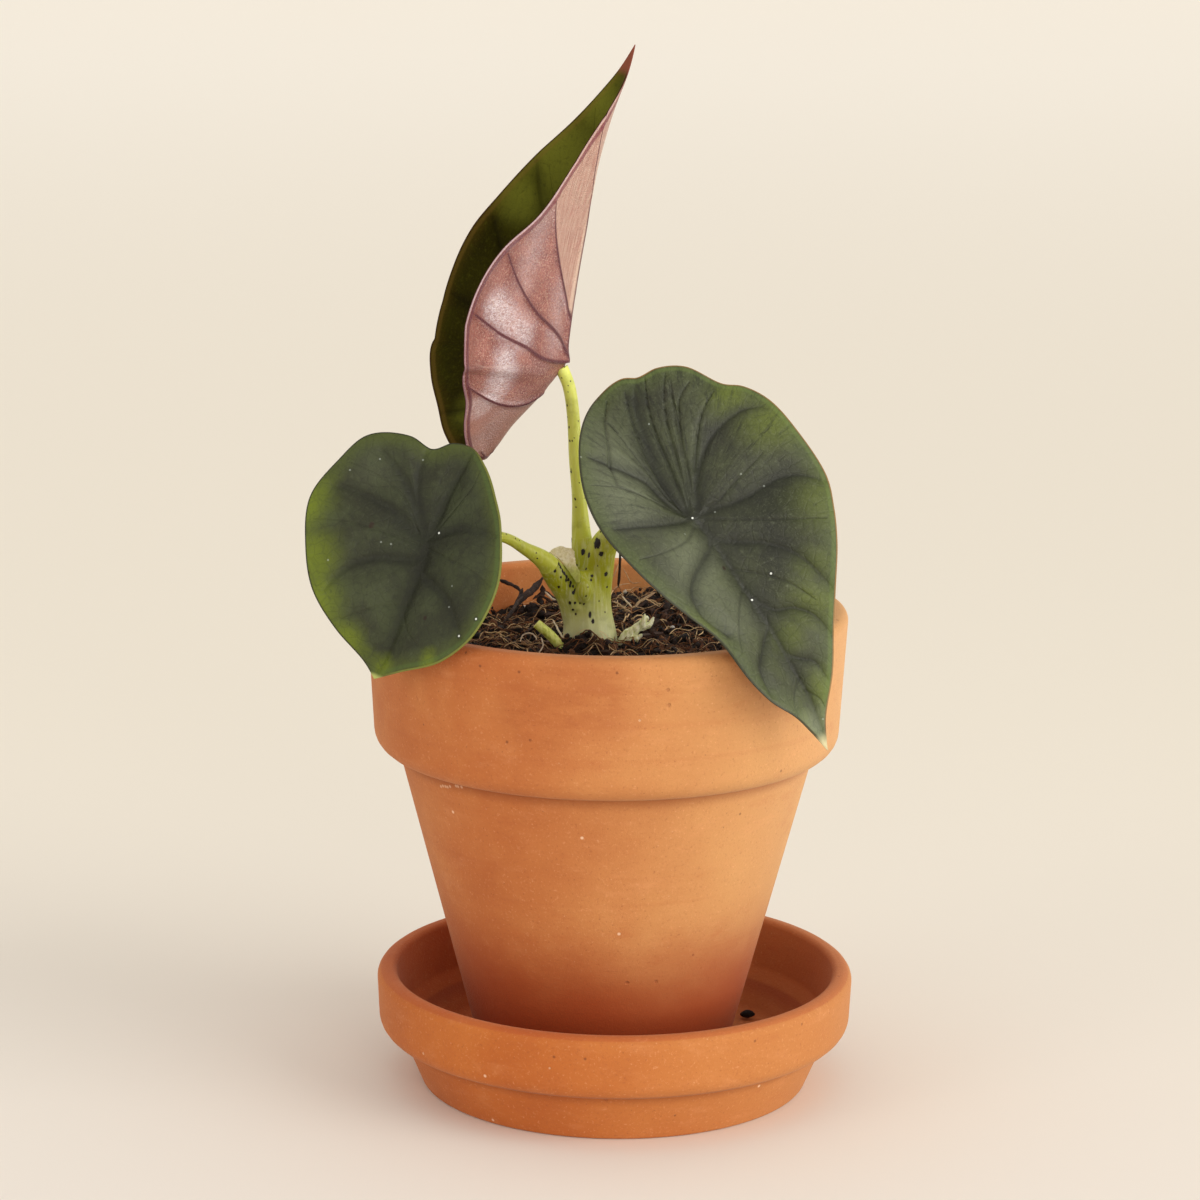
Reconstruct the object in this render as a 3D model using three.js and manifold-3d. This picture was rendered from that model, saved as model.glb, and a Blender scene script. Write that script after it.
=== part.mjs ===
// A young nebula alocasia in a terracotta pot, standing in a terracotta saucer.
// Millimetres, +Z up. The origin is the centre of the saucer's underside.
// The pot's axis lies a little to the left of the saucer's, because the pot was set down by hand.

import * as THREE from 'three';
import { mergeVertices } from 'three/addons/utils/BufferGeometryUtils.js';
import Module from 'manifold-3d';

const wasm = await Module();
wasm.setup();

// Driving dimensions

const rimRadius = 55;            // pot of 110 mm across its rim
const potHeight = 105.4;         // foot to rim
const potOffset = -2.5;          // pot's axis from the saucer's, along X
const saucerFloor = 7;           // the pot's foot stands at this height
const rimTop = saucerFloor + potHeight;
const soilLevel = 104;           // 8 mm below the rim
const restGap = 0.3;             // between pieces that rest on or grew against each other
const bladeThickness = 0.7;
const roundSegments = 48;        // sides of the pot, the saucer and the soil
const broadRounding = 2;         // a rounded corner over this has three steps, and the others two
const bladeSpokes = 64;          // points round a blade's margin
const bladeRings = 8;            // rings between a blade's junction and its margin

// Profiles are corners of [radius, height, rounding], anticlockwise, outside going up.

const potProfile = [
  [6, saucerFloor, 0.6],
  [28.7, saucerFloor, 1],
  [47.7, 79.3, 1],
  [53.1, 80.1, 5],
  [rimRadius, rimTop, 2.2],
  [49.6, rimTop, 1.5],
  [47.8, 92, 4],
  [43.2, 79.3, 4],
  [24.8, 13, 2],
  [6, 13, 0.6],
];

const saucerProfile = [
  [0, 0, 0],
  [44.7, 0, 1],
  [49.6, 11.6, 0.8],
  [54.6, 12.6, 4.2],
  [55.3, 26.9, 2.4],
  [50.9, 26.9, 1.5],
  [48.8, 15.5, 3],
  [42, saucerFloor, 3],
  [0, saucerFloor, 0],
];

// The three stalks grow out of one trunk of leaf sheaths. Each path runs from inside the trunk to
// the underside of its blade. The trunk's arm covers it up to the collar, a share of its length.

const stalks = {
  left: {
    path: [
      [-8, 0, 106], [-10.6, -1.4, 114], [-14.1, -3.5, 118.8], [-17.1, -6.5, 123.2], [-21.3, -10.5, 127.4],
      [-25.9, -15, 130.9], [-33, -20, 132.6], [-39.6, -24.4, 132.2], [-43.3, -28.1, 131.7],
    ],
    radii: [4, 3.4, 2.6, 2.1, 1.45, 1.15, 1.1, 1.15, 1.4],
    collar: 0.34,
  },
  rear: {
    path: [
      [-7.2, 0.4, 108], [-8, 1.2, 121], [-8.8, 1.5, 129.7], [-9.3, 1.5, 137], [-10.2, 1.5, 146],
      [-10.8, 1.5, 156], [-11.8, 1.6, 162.4], [-13.2, 1.8, 166], [-14.4, 2, 168.3],
    ],
    radii: [4, 2.8, 2.15, 1.65, 1.5, 1.45, 1.45, 1.5, 1.6],
    collar: 0.33,
  },
  right: {
    path: [
      [-6.2, 0, 108], [-5.2, -0.4, 119], [-3.6, -1.8, 126.5], [0.5, -6, 132.5], [6, -13.5, 136.6],
      [12, -24.5, 138.8], [16.1, -33.2, 139.5],
    ],
    radii: [4, 3.7, 3.1, 1.9, 1.4, 1.3, 1.5],
    collar: 0.42,
  },
};

// A blade is drawn flat about its junction with the stalk, x towards the tip and y to one side, in mm.
// It is then folded along its midrib and bent. Angles of its place are in degrees, the fold in radians,
// the bends in radians a millimetre. The roll turns the tip away from straight down.

const blades = {
  left: {
    junction: [-43.2, -28, 131.7],
    azimuth: -20,
    elevation: 30,
    roll: -13.7,
    tipBend: -0.01,
    baseBend: -0.004,
    baseReach: 100,
    baseFollow: 1,
    fold: 0.52,
    edgeBend: -0.011,
    twist: 0,
    outline: [
      [31.6, 0], [28, 7], [22.5, 17.2], [15, 23.8], [5, 24.4], [-8, 19], [-15, 12.6], [-21, 6.4], [-24.4, 0.8],
      [-24, -4], [-20.9, -7.6], [-21.4, -13.4], [-17.6, -22], [-10.3, -25.7], [-0.5, -27.8], [9.3, -24.6],
      [17.1, -19.9], [23.8, -11.7], [28.6, -3.6], [31.6, 0],
    ],
  },
  rear: {
    junction: [-14.1, 2, 168.2],
    azimuth: -81,
    elevation: 6.2,
    roll: -178.9,
    tipBend: -0.0034,
    baseBend: 0.11,
    baseReach: 5.5,
    baseFollow: 0.25,
    fold: 1.02,
    edgeBend: -0.002,
    twist: 0.006,
    outline: [
      [73, 0], [67, 1.8], [60.5, 4.9], [53, 9.2], [43, 16], [33, 22.5], [24.5, 28.3], [16, 32.2], [6, 34.8],
      [-5, 34.4], [-13, 29], [-20, 21.6], [-26, 14.5], [-29.2, 8], [-28, 0], [-27.6, -8.2], [-22.9, -15],
      [-19, -18.8], [-14, -22.9], [-5, -32.8], [6, -35.4], [16, -34.6], [24.5, -31], [33, -22.6],
      [43, -15.6], [53, -9], [60.5, -4.9], [67, -1.8], [73, 0],
    ],
  },
  right: {
    junction: [16, -33, 139.4],
    azimuth: 22,
    elevation: 38,
    roll: 23.4,
    tipBend: -0.007,
    baseBend: -0.004,
    baseReach: 100,
    baseFollow: 1,
    fold: 0.58,
    edgeBend: -0.011,
    twist: 0,
    outline: [
      [59, 0], [52.6, 2.5], [44.3, 8.6], [35.6, 13.8], [28.5, 18.4], [21, 23.6], [14.5, 27.4], [7.8, 30.3],
      [-3.9, 30.7], [-13, 29.8], [-18.5, 27.2], [-21.6, 23.9], [-29.4, 19.8], [-32.8, 14.5], [-33.6, 10],
      [-35.8, 6.5], [-35.6, 0.5], [-28.6, -12.2], [-22, -19.4], [-13.4, -24.8], [-3, -27.4], [6.8, -26.2],
      [13.6, -23.4], [19.4, -19.6], [26, -15.6], [36.6, -13.9], [42.7, -10.7], [49.1, -4.2], [53.5, -1.9],
      [59, 0],
    ],
  },
};

const foldRounding = 2;          // mm over which a blade's midrib rounds into its fold
const twistStart = 8;            // a blade starts to twist this far past its junction
const twistLength = 37;
const marginWave = 0.45;         // half height of the waves along a blade's margin
const waveCount = 7;
const puffHeight = 0.35;         // how far the tissue stands up between the main veins
const veinCount = 9;
const keelHeight = 0.8;          // the midrib stands out this far under a blade
const keelWidth = 1.2;

// Colours, with roughness, as the surfaces show

const colours = {
  terracotta: ['#c4733f', 0.85],
  soil: ['#2e2019', 0.95],
  greenBlade: ['#44543d', 0.45],
  plumBlade: ['#8f5a52', 0.35],
  stalk: ['#a9b548', 0.45],
  trunk: ['#b3bd7c', 0.5],
  drySheath: ['#c9b48f', 0.8],
  paleShoot: ['#c3c78f', 0.6],
};

// Small helpers

const vector = (place) => new THREE.Vector3(...place);
const degrees = THREE.MathUtils.degToRad;

const mergeDistance = 1e-4;

function solidFrom(geometry) {
  const bare = geometry.clone();
  bare.deleteAttribute('normal');
  bare.deleteAttribute('uv');
  const merged = mergeVertices(bare, mergeDistance);
  const corners = Array.from(merged.index.array);
  const kept = [];
  for (let i = 0; i < corners.length; i += 3) {
    const [a, b, c] = corners.slice(i, i + 3);
    if (a !== b && b !== c && c !== a) kept.push(a, b, c);
  }
  return new wasm.Manifold(new wasm.Mesh({
    numProp: 3,
    vertProperties: new Float32Array(merged.attributes.position.array),
    triVerts: new Uint32Array(kept),
  }));
}

function geometryFrom(solid) {
  const mesh = solid.getMesh();
  const geometry = new THREE.BufferGeometry();
  geometry.setAttribute('position', new THREE.BufferAttribute(new Float32Array(mesh.vertProperties), 3));
  geometry.setIndex(new THREE.BufferAttribute(new Uint32Array(mesh.triVerts), 1));
  return geometry;
}

function largestPiece(solid) {
  const pieces = solid.decompose();
  pieces.sort((a, b) => b.volume() - a.volume());
  return pieces[0];
}

// Turned pieces

function roundCorner(before, corner, after, steps) {
  const [x, y, rounding] = corner;
  const here = new THREE.Vector2(x, y);
  if (rounding === 0) return [here];
  const toBefore = new THREE.Vector2(before[0] - x, before[1] - y).normalize();
  const toAfter = new THREE.Vector2(after[0] - x, after[1] - y).normalize();
  const half = Math.acos(THREE.MathUtils.clamp(toBefore.dot(toAfter), -1, 1)) / 2;
  const reach = rounding / Math.tan(half);
  const start = here.clone().addScaledVector(toBefore, reach);
  const end = here.clone().addScaledVector(toAfter, reach);
  const middle = toBefore.clone().add(toAfter).normalize();
  const centre = here.clone().addScaledVector(middle, rounding / Math.sin(half));
  const points = [];
  for (let i = 0; i <= steps; i += 1) {
    const chord = start.clone().lerp(end, i / steps).sub(centre);
    points.push(centre.clone().add(chord.setLength(rounding)));
  }
  return points;
}

function turned(profile, closes) {
  const count = profile.length;
  const points = [];
  profile.forEach((corner, i) => {
    const before = profile[(i + count - 1) % count];
    const after = profile[(i + 1) % count];
    const steps = corner[2] > broadRounding ? 3 : 2;
    points.push(...roundCorner(before, corner, after, steps));
  });
  if (closes) points.push(points[0].clone());
  return new THREE.LatheGeometry(points, roundSegments).rotateX(Math.PI / 2);
}

// Tubes that taper, with flat ends

function limb(path, radii, { from = 0, to = 1, steps, sides, grow = 0 }) {
  const curve = new THREE.CatmullRomCurve3(path.map(vector));
  const taper = new THREE.CatmullRomCurve3(radii.map((radius, i) => new THREE.Vector3(i, radius, 0)));
  const side = new THREE.Vector3(0, 1, 0);
  const positions = [];
  const index = [];
  for (let i = 0; i <= steps; i += 1) {
    const share = from + (to - from) * i / steps;
    const centre = curve.getPointAt(share);
    const along = curve.getTangentAt(share);
    const radius = taper.getPoint(curve.getUtoTmapping(share)).y + grow;
    const across = side.clone().cross(along).normalize();
    const up = along.clone().cross(across);
    for (let j = 0; j < sides; j += 1) {
      const turn = 2 * Math.PI * j / sides;
      const point = centre.clone()
        .addScaledVector(across, radius * Math.cos(turn))
        .addScaledVector(up, radius * Math.sin(turn));
      positions.push(point.x, point.y, point.z);
    }
  }
  for (let i = 0; i < steps; i += 1) {
    for (let j = 0; j < sides; j += 1) {
      const a = i * sides + j;
      const b = i * sides + (j + 1) % sides;
      index.push(a, b, b + sides, a, b + sides, a + sides);
    }
  }
  const last = steps * sides;
  for (let j = 1; j < sides - 1; j += 1) {
    index.push(0, j + 1, j);
    index.push(last, last + j, last + j + 1);
  }
  const geometry = new THREE.BufferGeometry();
  geometry.setAttribute('position', new THREE.Float32BufferAttribute(positions, 3));
  geometry.setIndex(index);
  return geometry;
}

// Blades

function bladeFrame(blade) {
  const azimuth = degrees(blade.azimuth);
  const elevation = degrees(blade.elevation);
  const facing = new THREE.Vector3(
    Math.sin(azimuth) * Math.cos(elevation),
    -Math.cos(azimuth) * Math.cos(elevation),
    Math.sin(elevation),
  );
  const down = new THREE.Vector3(0, 0, -1).addScaledVector(facing, facing.z).normalize();
  const level = facing.clone().cross(down);
  const roll = degrees(blade.roll);
  const ahead = down.multiplyScalar(Math.cos(roll)).addScaledVector(level, Math.sin(roll));
  const side = facing.clone().cross(ahead);
  return { ahead, side, facing };
}

// The place in space of the flat blade's point x, y.
function bladePoint(blade, frame, x, y) {
  const bend = x > 0 ? blade.tipBend : blade.baseBend;
  const bent = x > 0 ? x : Math.max(x, -blade.baseReach);
  const angle = bend * bent;
  const straight = x - bent;
  const forward = Math.sin(angle) / bend + straight * Math.cos(angle);
  const lift = (1 - Math.cos(angle)) / bend + straight * Math.sin(angle);
  const turn = x > 0 ? angle : angle * blade.baseFollow;
  const normal = frame.facing.clone().multiplyScalar(Math.cos(turn))
    .addScaledVector(frame.ahead, -Math.sin(turn));
  const twist = blade.twist * THREE.MathUtils.clamp(x - twistStart, 0, twistLength);
  const side = frame.side.clone().multiplyScalar(Math.cos(twist)).addScaledVector(normal, Math.sin(twist));
  const up = normal.clone().multiplyScalar(Math.cos(twist)).addScaledVector(frame.side, -Math.sin(twist));
  const reach = Math.abs(y);
  const slices = 24;
  let across = 0;
  let raised = 0;
  for (let i = 0; i < slices; i += 1) {
    const out = reach * (i + 0.5) / slices;
    const slope = blade.fold * out / (out + foldRounding) + blade.edgeBend * out;
    across += Math.cos(slope) * reach / slices;
    raised += Math.sin(slope) * reach / slices;
  }
  return vector(blade.junction)
    .addScaledVector(frame.ahead, forward)
    .addScaledVector(frame.facing, lift)
    .addScaledVector(side, Math.sign(y) * across)
    .addScaledVector(up, raised);
}

function bladeNormal(blade, frame, x, y) {
  const step = 0.4;
  const alongX = bladePoint(blade, frame, x + step, y).sub(bladePoint(blade, frame, x - step, y));
  const alongY = bladePoint(blade, frame, x, y + step).sub(bladePoint(blade, frame, x, y - step));
  return alongX.cross(alongY).normalize();
}

// Both faces have the same triangles, so that a thin waved blade never crosses itself.
function bladeGeometry(blade, thickness) {
  const frame = bladeFrame(blade);
  const outline = new THREE.CatmullRomCurve3(
    blade.outline.map(([x, y]) => new THREE.Vector3(x, y, 0)), false, 'centripetal',
  );
  const margin = outline.getSpacedPoints(bladeSpokes).slice(0, bladeSpokes);
  const flat = [[0, 0, 0, 0]];
  for (let ring = 1; ring <= bladeRings; ring += 1) {
    const share = ring / bladeRings;
    margin.forEach((point, spoke) => {
      flat.push([point.x * share, point.y * share, share, spoke / bladeSpokes]);
    });
  }
  const positions = [];
  for (const face of [1, -1]) {
    flat.forEach(([x, y, share, turn]) => {
      const wave = marginWave * share ** 4 * Math.sin(2 * Math.PI * waveCount * turn);
      const puff = puffHeight * 4 * share * (1 - share) * Math.sin(Math.PI * veinCount * turn) ** 2;
      const keel = x >= 0 && face < 0 ? keelHeight * (1 - share ** 2) * Math.exp(-((y / keelWidth) ** 2)) : 0;
      const away = wave + puff + face * thickness / 2 - keel;
      const place = bladePoint(blade, frame, x, y).addScaledVector(bladeNormal(blade, frame, x, y), away);
      positions.push(place.x, place.y, place.z);
    });
  }
  const count = flat.length;
  const spot = (ring, spoke) => (ring === 0 ? 0 : 1 + (ring - 1) * bladeSpokes + spoke % bladeSpokes);
  const index = [];
  const addFaces = (a, b, c) => {
    index.push(a, b, c);
    index.push(count + a, count + c, count + b);
  };
  for (let spoke = 0; spoke < bladeSpokes; spoke += 1) {
    addFaces(0, spot(1, spoke), spot(1, spoke + 1));
    for (let ring = 1; ring < bladeRings; ring += 1) {
      const a = spot(ring, spoke);
      const b = spot(ring + 1, spoke);
      const c = spot(ring + 1, spoke + 1);
      const d = spot(ring, spoke + 1);
      addFaces(a, b, c);
      addFaces(a, c, d);
    }
    const near = spot(bladeRings, spoke);
    const next = spot(bladeRings, spoke + 1);
    index.push(near, count + near, count + next);
    index.push(near, count + next, next);
  }
  const geometry = new THREE.BufferGeometry();
  geometry.setAttribute('position', new THREE.Float32BufferAttribute(positions, 3));
  geometry.setIndex(index);
  return geometry;
}

// The trunk, with its three arms and the flap of a new bud, and a plain foot in the soil

const trunkPath = [[-6.4, 0, 86], [-6.4, 0, 96], [-6.5, 0, 104], [-7, 0, 110], [-7.3, 0, 116], [-7, 0, 121]];
const trunkRadii = [5.2, 6, 6.3, 5.6, 5.2, 4.4];
const budPath = [[-8.4, -3.6, 113.5], [-8, -5.4, 117], [-8.8, -4.4, 121.2]];
const budRadii = [1, 1.9, 0.5];

function trunkSolid(grow) {
  const parts = [
    solidFrom(limb(trunkPath, trunkRadii, { steps: 10, sides: 16, grow })),
    solidFrom(limb(budPath, budRadii, { steps: 5, sides: 8, grow })),
  ];
  for (const stalk of Object.values(stalks)) {
    const arm = limb(stalk.path, stalk.radii, { to: stalk.collar, steps: 8, sides: 12, grow });
    parts.push(solidFrom(arm));
  }
  return parts.reduce((whole, part) => whole.add(part));
}

function stalkSolid(name) {
  const { path, radii, collar } = stalks[name];
  const length = new THREE.CatmullRomCurve3(path.map(vector)).getLength();
  const whole = solidFrom(limb(path, radii, { from: collar + restGap / length, steps: 16, sides: 10 }));
  const blade = solidFrom(bladeGeometry(blades[name], bladeThickness + 2 * restGap));
  return largestPiece(whole.subtract(blade));
}

// Small pieces at the trunk's foot

const stubPath = [[-11.8, -9.4, 103], [-15.4, -9.2, 107.2], [-18.6, -9, 109.9]];
const stubRadii = [1.1, 1.15, 1.1];
const shootPath = [[0.2, -3.4, 101.5], [1.6, -3.1, 105.4], [4.4, -3, 107.8], [6.6, -3, 110.4]];
const shootRadii = [1.2, 1.4, 1.1, 0.5];

const stubSolid = (grow) => solidFrom(limb(stubPath, stubRadii, { steps: 5, sides: 10, grow }));
const shootSolid = (grow) => solidFrom(limb(shootPath, shootRadii, { steps: 6, sides: 8, grow }));

// The dry remnant of an old sheath, a thin scrap that stands in the fork of the trunk
const scrapOutline = [[-3.2, 0.4], [-1.6, -2.4], [0.8, -3.4], [2.6, -2.2], [2.2, 0.4], [0.9, 1.9], [-1.2, 2.3]];
const scrapThickness = 0.8;
const scrapTurn = -14;           // degrees about the upright
const scrapLean = 8;             // degrees to the right
const scrapPlace = [-13, -1.6, 124];

function scrapSolid() {
  const shape = new THREE.Shape(scrapOutline.map(([x, y]) => new THREE.Vector2(x, y)));
  const geometry = new THREE.ExtrudeGeometry(shape, { depth: scrapThickness, bevelEnabled: false, steps: 1 });
  geometry.rotateX(Math.PI / 2);
  geometry.rotateZ(degrees(scrapTurn));
  geometry.rotateY(degrees(scrapLean));
  geometry.translate(...scrapPlace);
  return largestPiece(solidFrom(geometry).subtract(trunkSolid(restGap)));
}

// Soil with an uneven top, in the pot, with plain holes for what stands in it

const soilProfile = [
  [0, 13 + restGap, 0],
  [24.3, 13 + restGap, 2],
  [42.6, 79.4, 0],
  [47.1, 92, 0],
  [48.2, soilLevel - 0.8, 0],
  ...[42, 35, 28, 21, 14, 7, 0].map((radius) => [radius, soilLevel, 0]),
];
const swells = [                 // [x, y, radius, height], a rise at the right rear and a dip at the left
  [12, 32, 20, 2.2],
  [-22, 28, 16, -3],
];
const ripples = [                // [height, turns along x, turns along y, phase], in mm and radians
  [0.5, 0.41, 0.37, 0.9],
  [0.5, 0.83, -0.7, 0],
  [0.4, 0.9, 1.31, 3.6],
];

function soilRelief(x, y) {
  let height = 0;
  for (const [atX, atY, radius, rise] of swells) {
    const away = Math.hypot(x - atX, y - atY) / radius;
    height += rise * Math.exp(-(away ** 2));
  }
  for (const [rise, alongX, alongY, phase] of ripples) {
    height += rise * Math.sin(alongX * x + alongY * y + phase);
  }
  return height;
}

function soilSolid() {
  const geometry = turned(soilProfile, false);
  const place = geometry.attributes.position;
  for (let i = 0; i < place.count; i += 1) {
    if (place.getZ(i) > soilLevel - 1) {
      place.setZ(i, place.getZ(i) + soilRelief(place.getX(i), place.getY(i)));
    }
  }
  return solidFrom(geometry.translate(potOffset, 0, 0))
    .subtract(trunkSolid(restGap))
    .subtract(stubSolid(restGap))
    .subtract(shootSolid(restGap));
}

// A crumb of soil that fell into the saucer
const crumbPlace = [32, 19.6];
const crumbSize = [1.9, 1.3, 1];

function crumbGeometry() {
  const geometry = new THREE.IcosahedronGeometry(1, 1);
  geometry.scale(...crumbSize);
  return geometry.translate(...crumbPlace, saucerFloor + restGap + crumbSize[2]);
}

// The scene graph

const plant = new THREE.Group();
const pottery = new THREE.Group();
const whole = new THREE.Group();
whole.add(pottery, plant);

function addPiece(group, name, geometry, look) {
  const [color, roughness] = colours[look];
  const mesh = new THREE.Mesh(geometry, new THREE.MeshStandardMaterial({ color, roughness, metalness: 0 }));
  mesh.name = name;
  group.add(mesh);
  return mesh;
}

addPiece(pottery, 'saucer', turned(saucerProfile, false), 'terracotta');
addPiece(pottery, 'pot', turned(potProfile, true), 'terracotta').position.x = potOffset;
addPiece(pottery, 'soil', geometryFrom(soilSolid()), 'soil');
addPiece(pottery, 'soil_crumb', crumbGeometry(), 'soil');
addPiece(plant, 'stem_base', geometryFrom(trunkSolid(0)), 'trunk');
addPiece(plant, 'sheath_scrap', geometryFrom(scrapSolid()), 'drySheath');
addPiece(plant, 'cut_stub', geometryFrom(stubSolid(0)), 'paleShoot');
addPiece(plant, 'side_shoot', geometryFrom(shootSolid(0)), 'paleShoot');
for (const [name, blade] of Object.entries(blades)) {
  const look = name === 'rear' ? 'plumBlade' : 'greenBlade';
  addPiece(plant, `petiole_${name}`, geometryFrom(stalkSolid(name)), 'stalk');
  addPiece(plant, `leaf_${name}`, bladeGeometry(blade, bladeThickness), look);
}

export default whole;
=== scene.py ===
import bpy
import math
import random
import numpy as np
from mathutils import Matrix, Vector, noise
from mathutils.bvhtree import BVHTree


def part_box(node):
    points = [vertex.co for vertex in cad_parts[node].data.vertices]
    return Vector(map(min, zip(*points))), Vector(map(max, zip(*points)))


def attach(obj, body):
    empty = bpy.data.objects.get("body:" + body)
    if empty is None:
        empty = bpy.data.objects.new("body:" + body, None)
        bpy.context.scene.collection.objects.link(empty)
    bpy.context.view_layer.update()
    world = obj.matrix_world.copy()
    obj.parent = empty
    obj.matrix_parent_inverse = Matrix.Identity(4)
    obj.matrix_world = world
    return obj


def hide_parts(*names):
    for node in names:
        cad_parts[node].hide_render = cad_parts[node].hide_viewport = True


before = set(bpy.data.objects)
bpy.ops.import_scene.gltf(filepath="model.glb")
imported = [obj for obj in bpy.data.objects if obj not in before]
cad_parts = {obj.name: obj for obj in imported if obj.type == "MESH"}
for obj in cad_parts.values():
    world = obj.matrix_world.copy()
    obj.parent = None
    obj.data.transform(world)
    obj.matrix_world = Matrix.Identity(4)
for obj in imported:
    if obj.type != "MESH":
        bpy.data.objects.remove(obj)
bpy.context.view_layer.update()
mm = 0.001
noiseSeed = 1795768326        # without a seed, noise_vector starts from the clock
noise.seed_set(noiseSeed)
print("frame loaded:", len(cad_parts), "nodes")


# Camera, at the photograph's angle

viewSetup = {
    "place": (-0.0043, -0.860, 0.3023),
    "pitchDown": 12.38,
    "roll": 0.6,
    "lens": 115.67,
    "sensor": 36.0,
    "clip": (0.05, 20),
    "picture": 1200,          # side of the picture that the pixel places below are given in
}


def addCamera(setup):
    data = bpy.data.cameras.new("studioCamera")
    data.lens = setup["lens"]
    data.sensor_width = setup["sensor"]
    data.clip_start, data.clip_end = setup["clip"]
    camera = bpy.data.objects.new("studioCamera", data)
    bpy.context.scene.collection.objects.link(camera)
    tilt = Matrix.Rotation(math.radians(90 - setup["pitchDown"]), 4, "X")
    roll = Matrix.Rotation(math.radians(setup["roll"]), 4, "Z")
    camera.matrix_world = Matrix.Translation(setup["place"]) @ tilt @ roll
    bpy.context.scene.camera = camera
    return camera


camera = addCamera(viewSetup)


def pixelRay(u, v):
    # where a pixel of the picture looks from, and which way
    half = viewSetup["picture"] / 2
    spread = viewSetup["sensor"] / viewSetup["lens"] / viewSetup["picture"]
    way = Vector(((u - half) * spread, (half - v) * spread, -1))
    return camera.matrix_world.translation, (camera.matrix_world.to_3x3() @ way).normalized()


# Small helpers

def clearSelection():
    if bpy.context.object and bpy.context.object.mode != "OBJECT":
        bpy.ops.object.mode_set(mode="OBJECT")
    bpy.ops.object.select_all(action="DESELECT")


def pick(piece):
    clearSelection()
    piece.select_set(True)
    bpy.context.view_layer.objects.active = piece


def meshPiece(name, places, faces):
    data = bpy.data.meshes.new(name)
    data.from_pydata([tuple(p) for p in places], [], [tuple(f) for f in faces])
    data.update()
    piece = bpy.data.objects.new(name, data)
    bpy.context.scene.collection.objects.link(piece)
    return piece


def placesOf(piece):
    flat = np.empty(len(piece.data.vertices) * 3)
    piece.data.vertices.foreach_get("co", flat)
    return flat.reshape(-1, 3)


def setPlaces(piece, places):
    piece.data.vertices.foreach_set("co", np.asarray(places, float).ravel())
    piece.data.update()


def setValues(piece, name, values, kind="FLOAT"):
    layer = piece.data.attributes.new(name, kind, "POINT")
    layer.data.foreach_set("vector" if kind == "FLOAT_VECTOR" else "value", np.asarray(values, float).ravel())


def applyModifier(piece, kind, **settings):
    pick(piece)
    modifier = piece.modifiers.new(kind.title(), kind)
    for key, value in settings.items():
        setattr(modifier, key, value)
    bpy.ops.object.modifier_apply(modifier=modifier.name)


def tidyMesh(piece, merge=0.00001):
    pick(piece)
    bpy.ops.object.mode_set(mode="EDIT")
    bpy.ops.mesh.select_all(action="SELECT")
    bpy.ops.mesh.remove_doubles(threshold=merge)
    bpy.ops.mesh.normals_make_consistent(inside=False)
    bpy.ops.object.mode_set(mode="OBJECT")


def smoothShade(piece, angle=None):
    pick(piece)
    if angle is None:
        bpy.ops.object.shade_smooth()
    else:
        bpy.ops.object.shade_smooth_by_angle(angle=math.radians(angle))


def joinPieces(pieces, name):
    clearSelection()
    for piece in pieces:
        piece.select_set(True)
    bpy.context.view_layer.objects.active = pieces[0]
    bpy.ops.object.join()
    pieces[0].name = name
    pieces[0].data.name = name
    return pieces[0]


def keep(piece, materials, replaces=()):
    # gives a finished piece its materials, its body and the node that it stands for
    print("  ", piece.name, sum(len(face.vertices) - 2 for face in piece.data.polygons), "triangles")
    piece.data.materials.clear()
    for material in materials:
        piece.data.materials.append(material)
    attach(piece, "root")
    if replaces:
        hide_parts(*replaces)
    return piece


def tonedMesh(name, parts, scale=1.0):
    # many small meshes as one piece; each part is its places, its faces and its tone
    sizes = [len(places) for places, _, _ in parts]
    faces = []
    for start, (_, ownFaces, _) in zip(np.cumsum([0] + sizes), parts):
        faces += [[v + start for v in face] for face in ownFaces]
    piece = meshPiece(name, np.concatenate([places for places, _, _ in parts]) * scale, faces)
    setValues(piece, "tone", np.repeat([tone for _, _, tone in parts], sizes))
    return piece


def smoothPath(points, count):
    # an even curve through the points, drawn as the solids' paths are
    pts = np.array(points, float)
    pts = np.vstack([2 * pts[0] - pts[1], pts, 2 * pts[-1] - pts[-2]])
    fine = []
    for a, b, c, d in zip(pts, pts[1:], pts[2:], pts[3:]):
        knots = np.cumsum([0, *(np.linalg.norm(q - p) ** 0.5 for p, q in ((a, b), (b, c), (c, d)))])
        for t in np.linspace(knots[1], knots[2], 24, endpoint=False):
            ab = (a * (knots[1] - t) + b * (t - knots[0])) / (knots[1] - knots[0])
            bc = (b * (knots[2] - t) + c * (t - knots[1])) / (knots[2] - knots[1])
            cd = (c * (knots[3] - t) + d * (t - knots[2])) / (knots[3] - knots[2])
            abc = (ab * (knots[2] - t) + bc * (t - knots[0])) / (knots[2] - knots[0])
            bcd = (bc * (knots[3] - t) + cd * (t - knots[1])) / (knots[3] - knots[1])
            fine.append((abc * (knots[2] - t) + bcd * (t - knots[1])) / (knots[2] - knots[1]))
    fine.append(pts[-2])
    fine = np.array(fine)
    walked = np.concatenate([[0], np.cumsum(np.linalg.norm(np.diff(fine[:, :3], axis=0), axis=1))])
    stops = np.linspace(0, walked[-1], count)
    return np.stack([np.interp(stops, walked, fine[:, k]) for k in range(fine.shape[1])], axis=1)


def surfaceOf(piece):
    return BVHTree.FromPolygons([p.co for p in piece.data.vertices], [f.vertices for f in piece.data.polygons])


def castOn(piece, pixels):
    # the places on the piece that show at pixels of the picture; values after u and v are passed on
    tree = surfaceOf(piece)
    found = []
    for u, v, *rest in pixels:
        hit = tree.ray_cast(*pixelRay(u, v))[0]
        if hit:
            found.append((hit, *rest))
    return found


# Shader maths: a socket that takes part in Python sums, and a finish that holds the nodes

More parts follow.
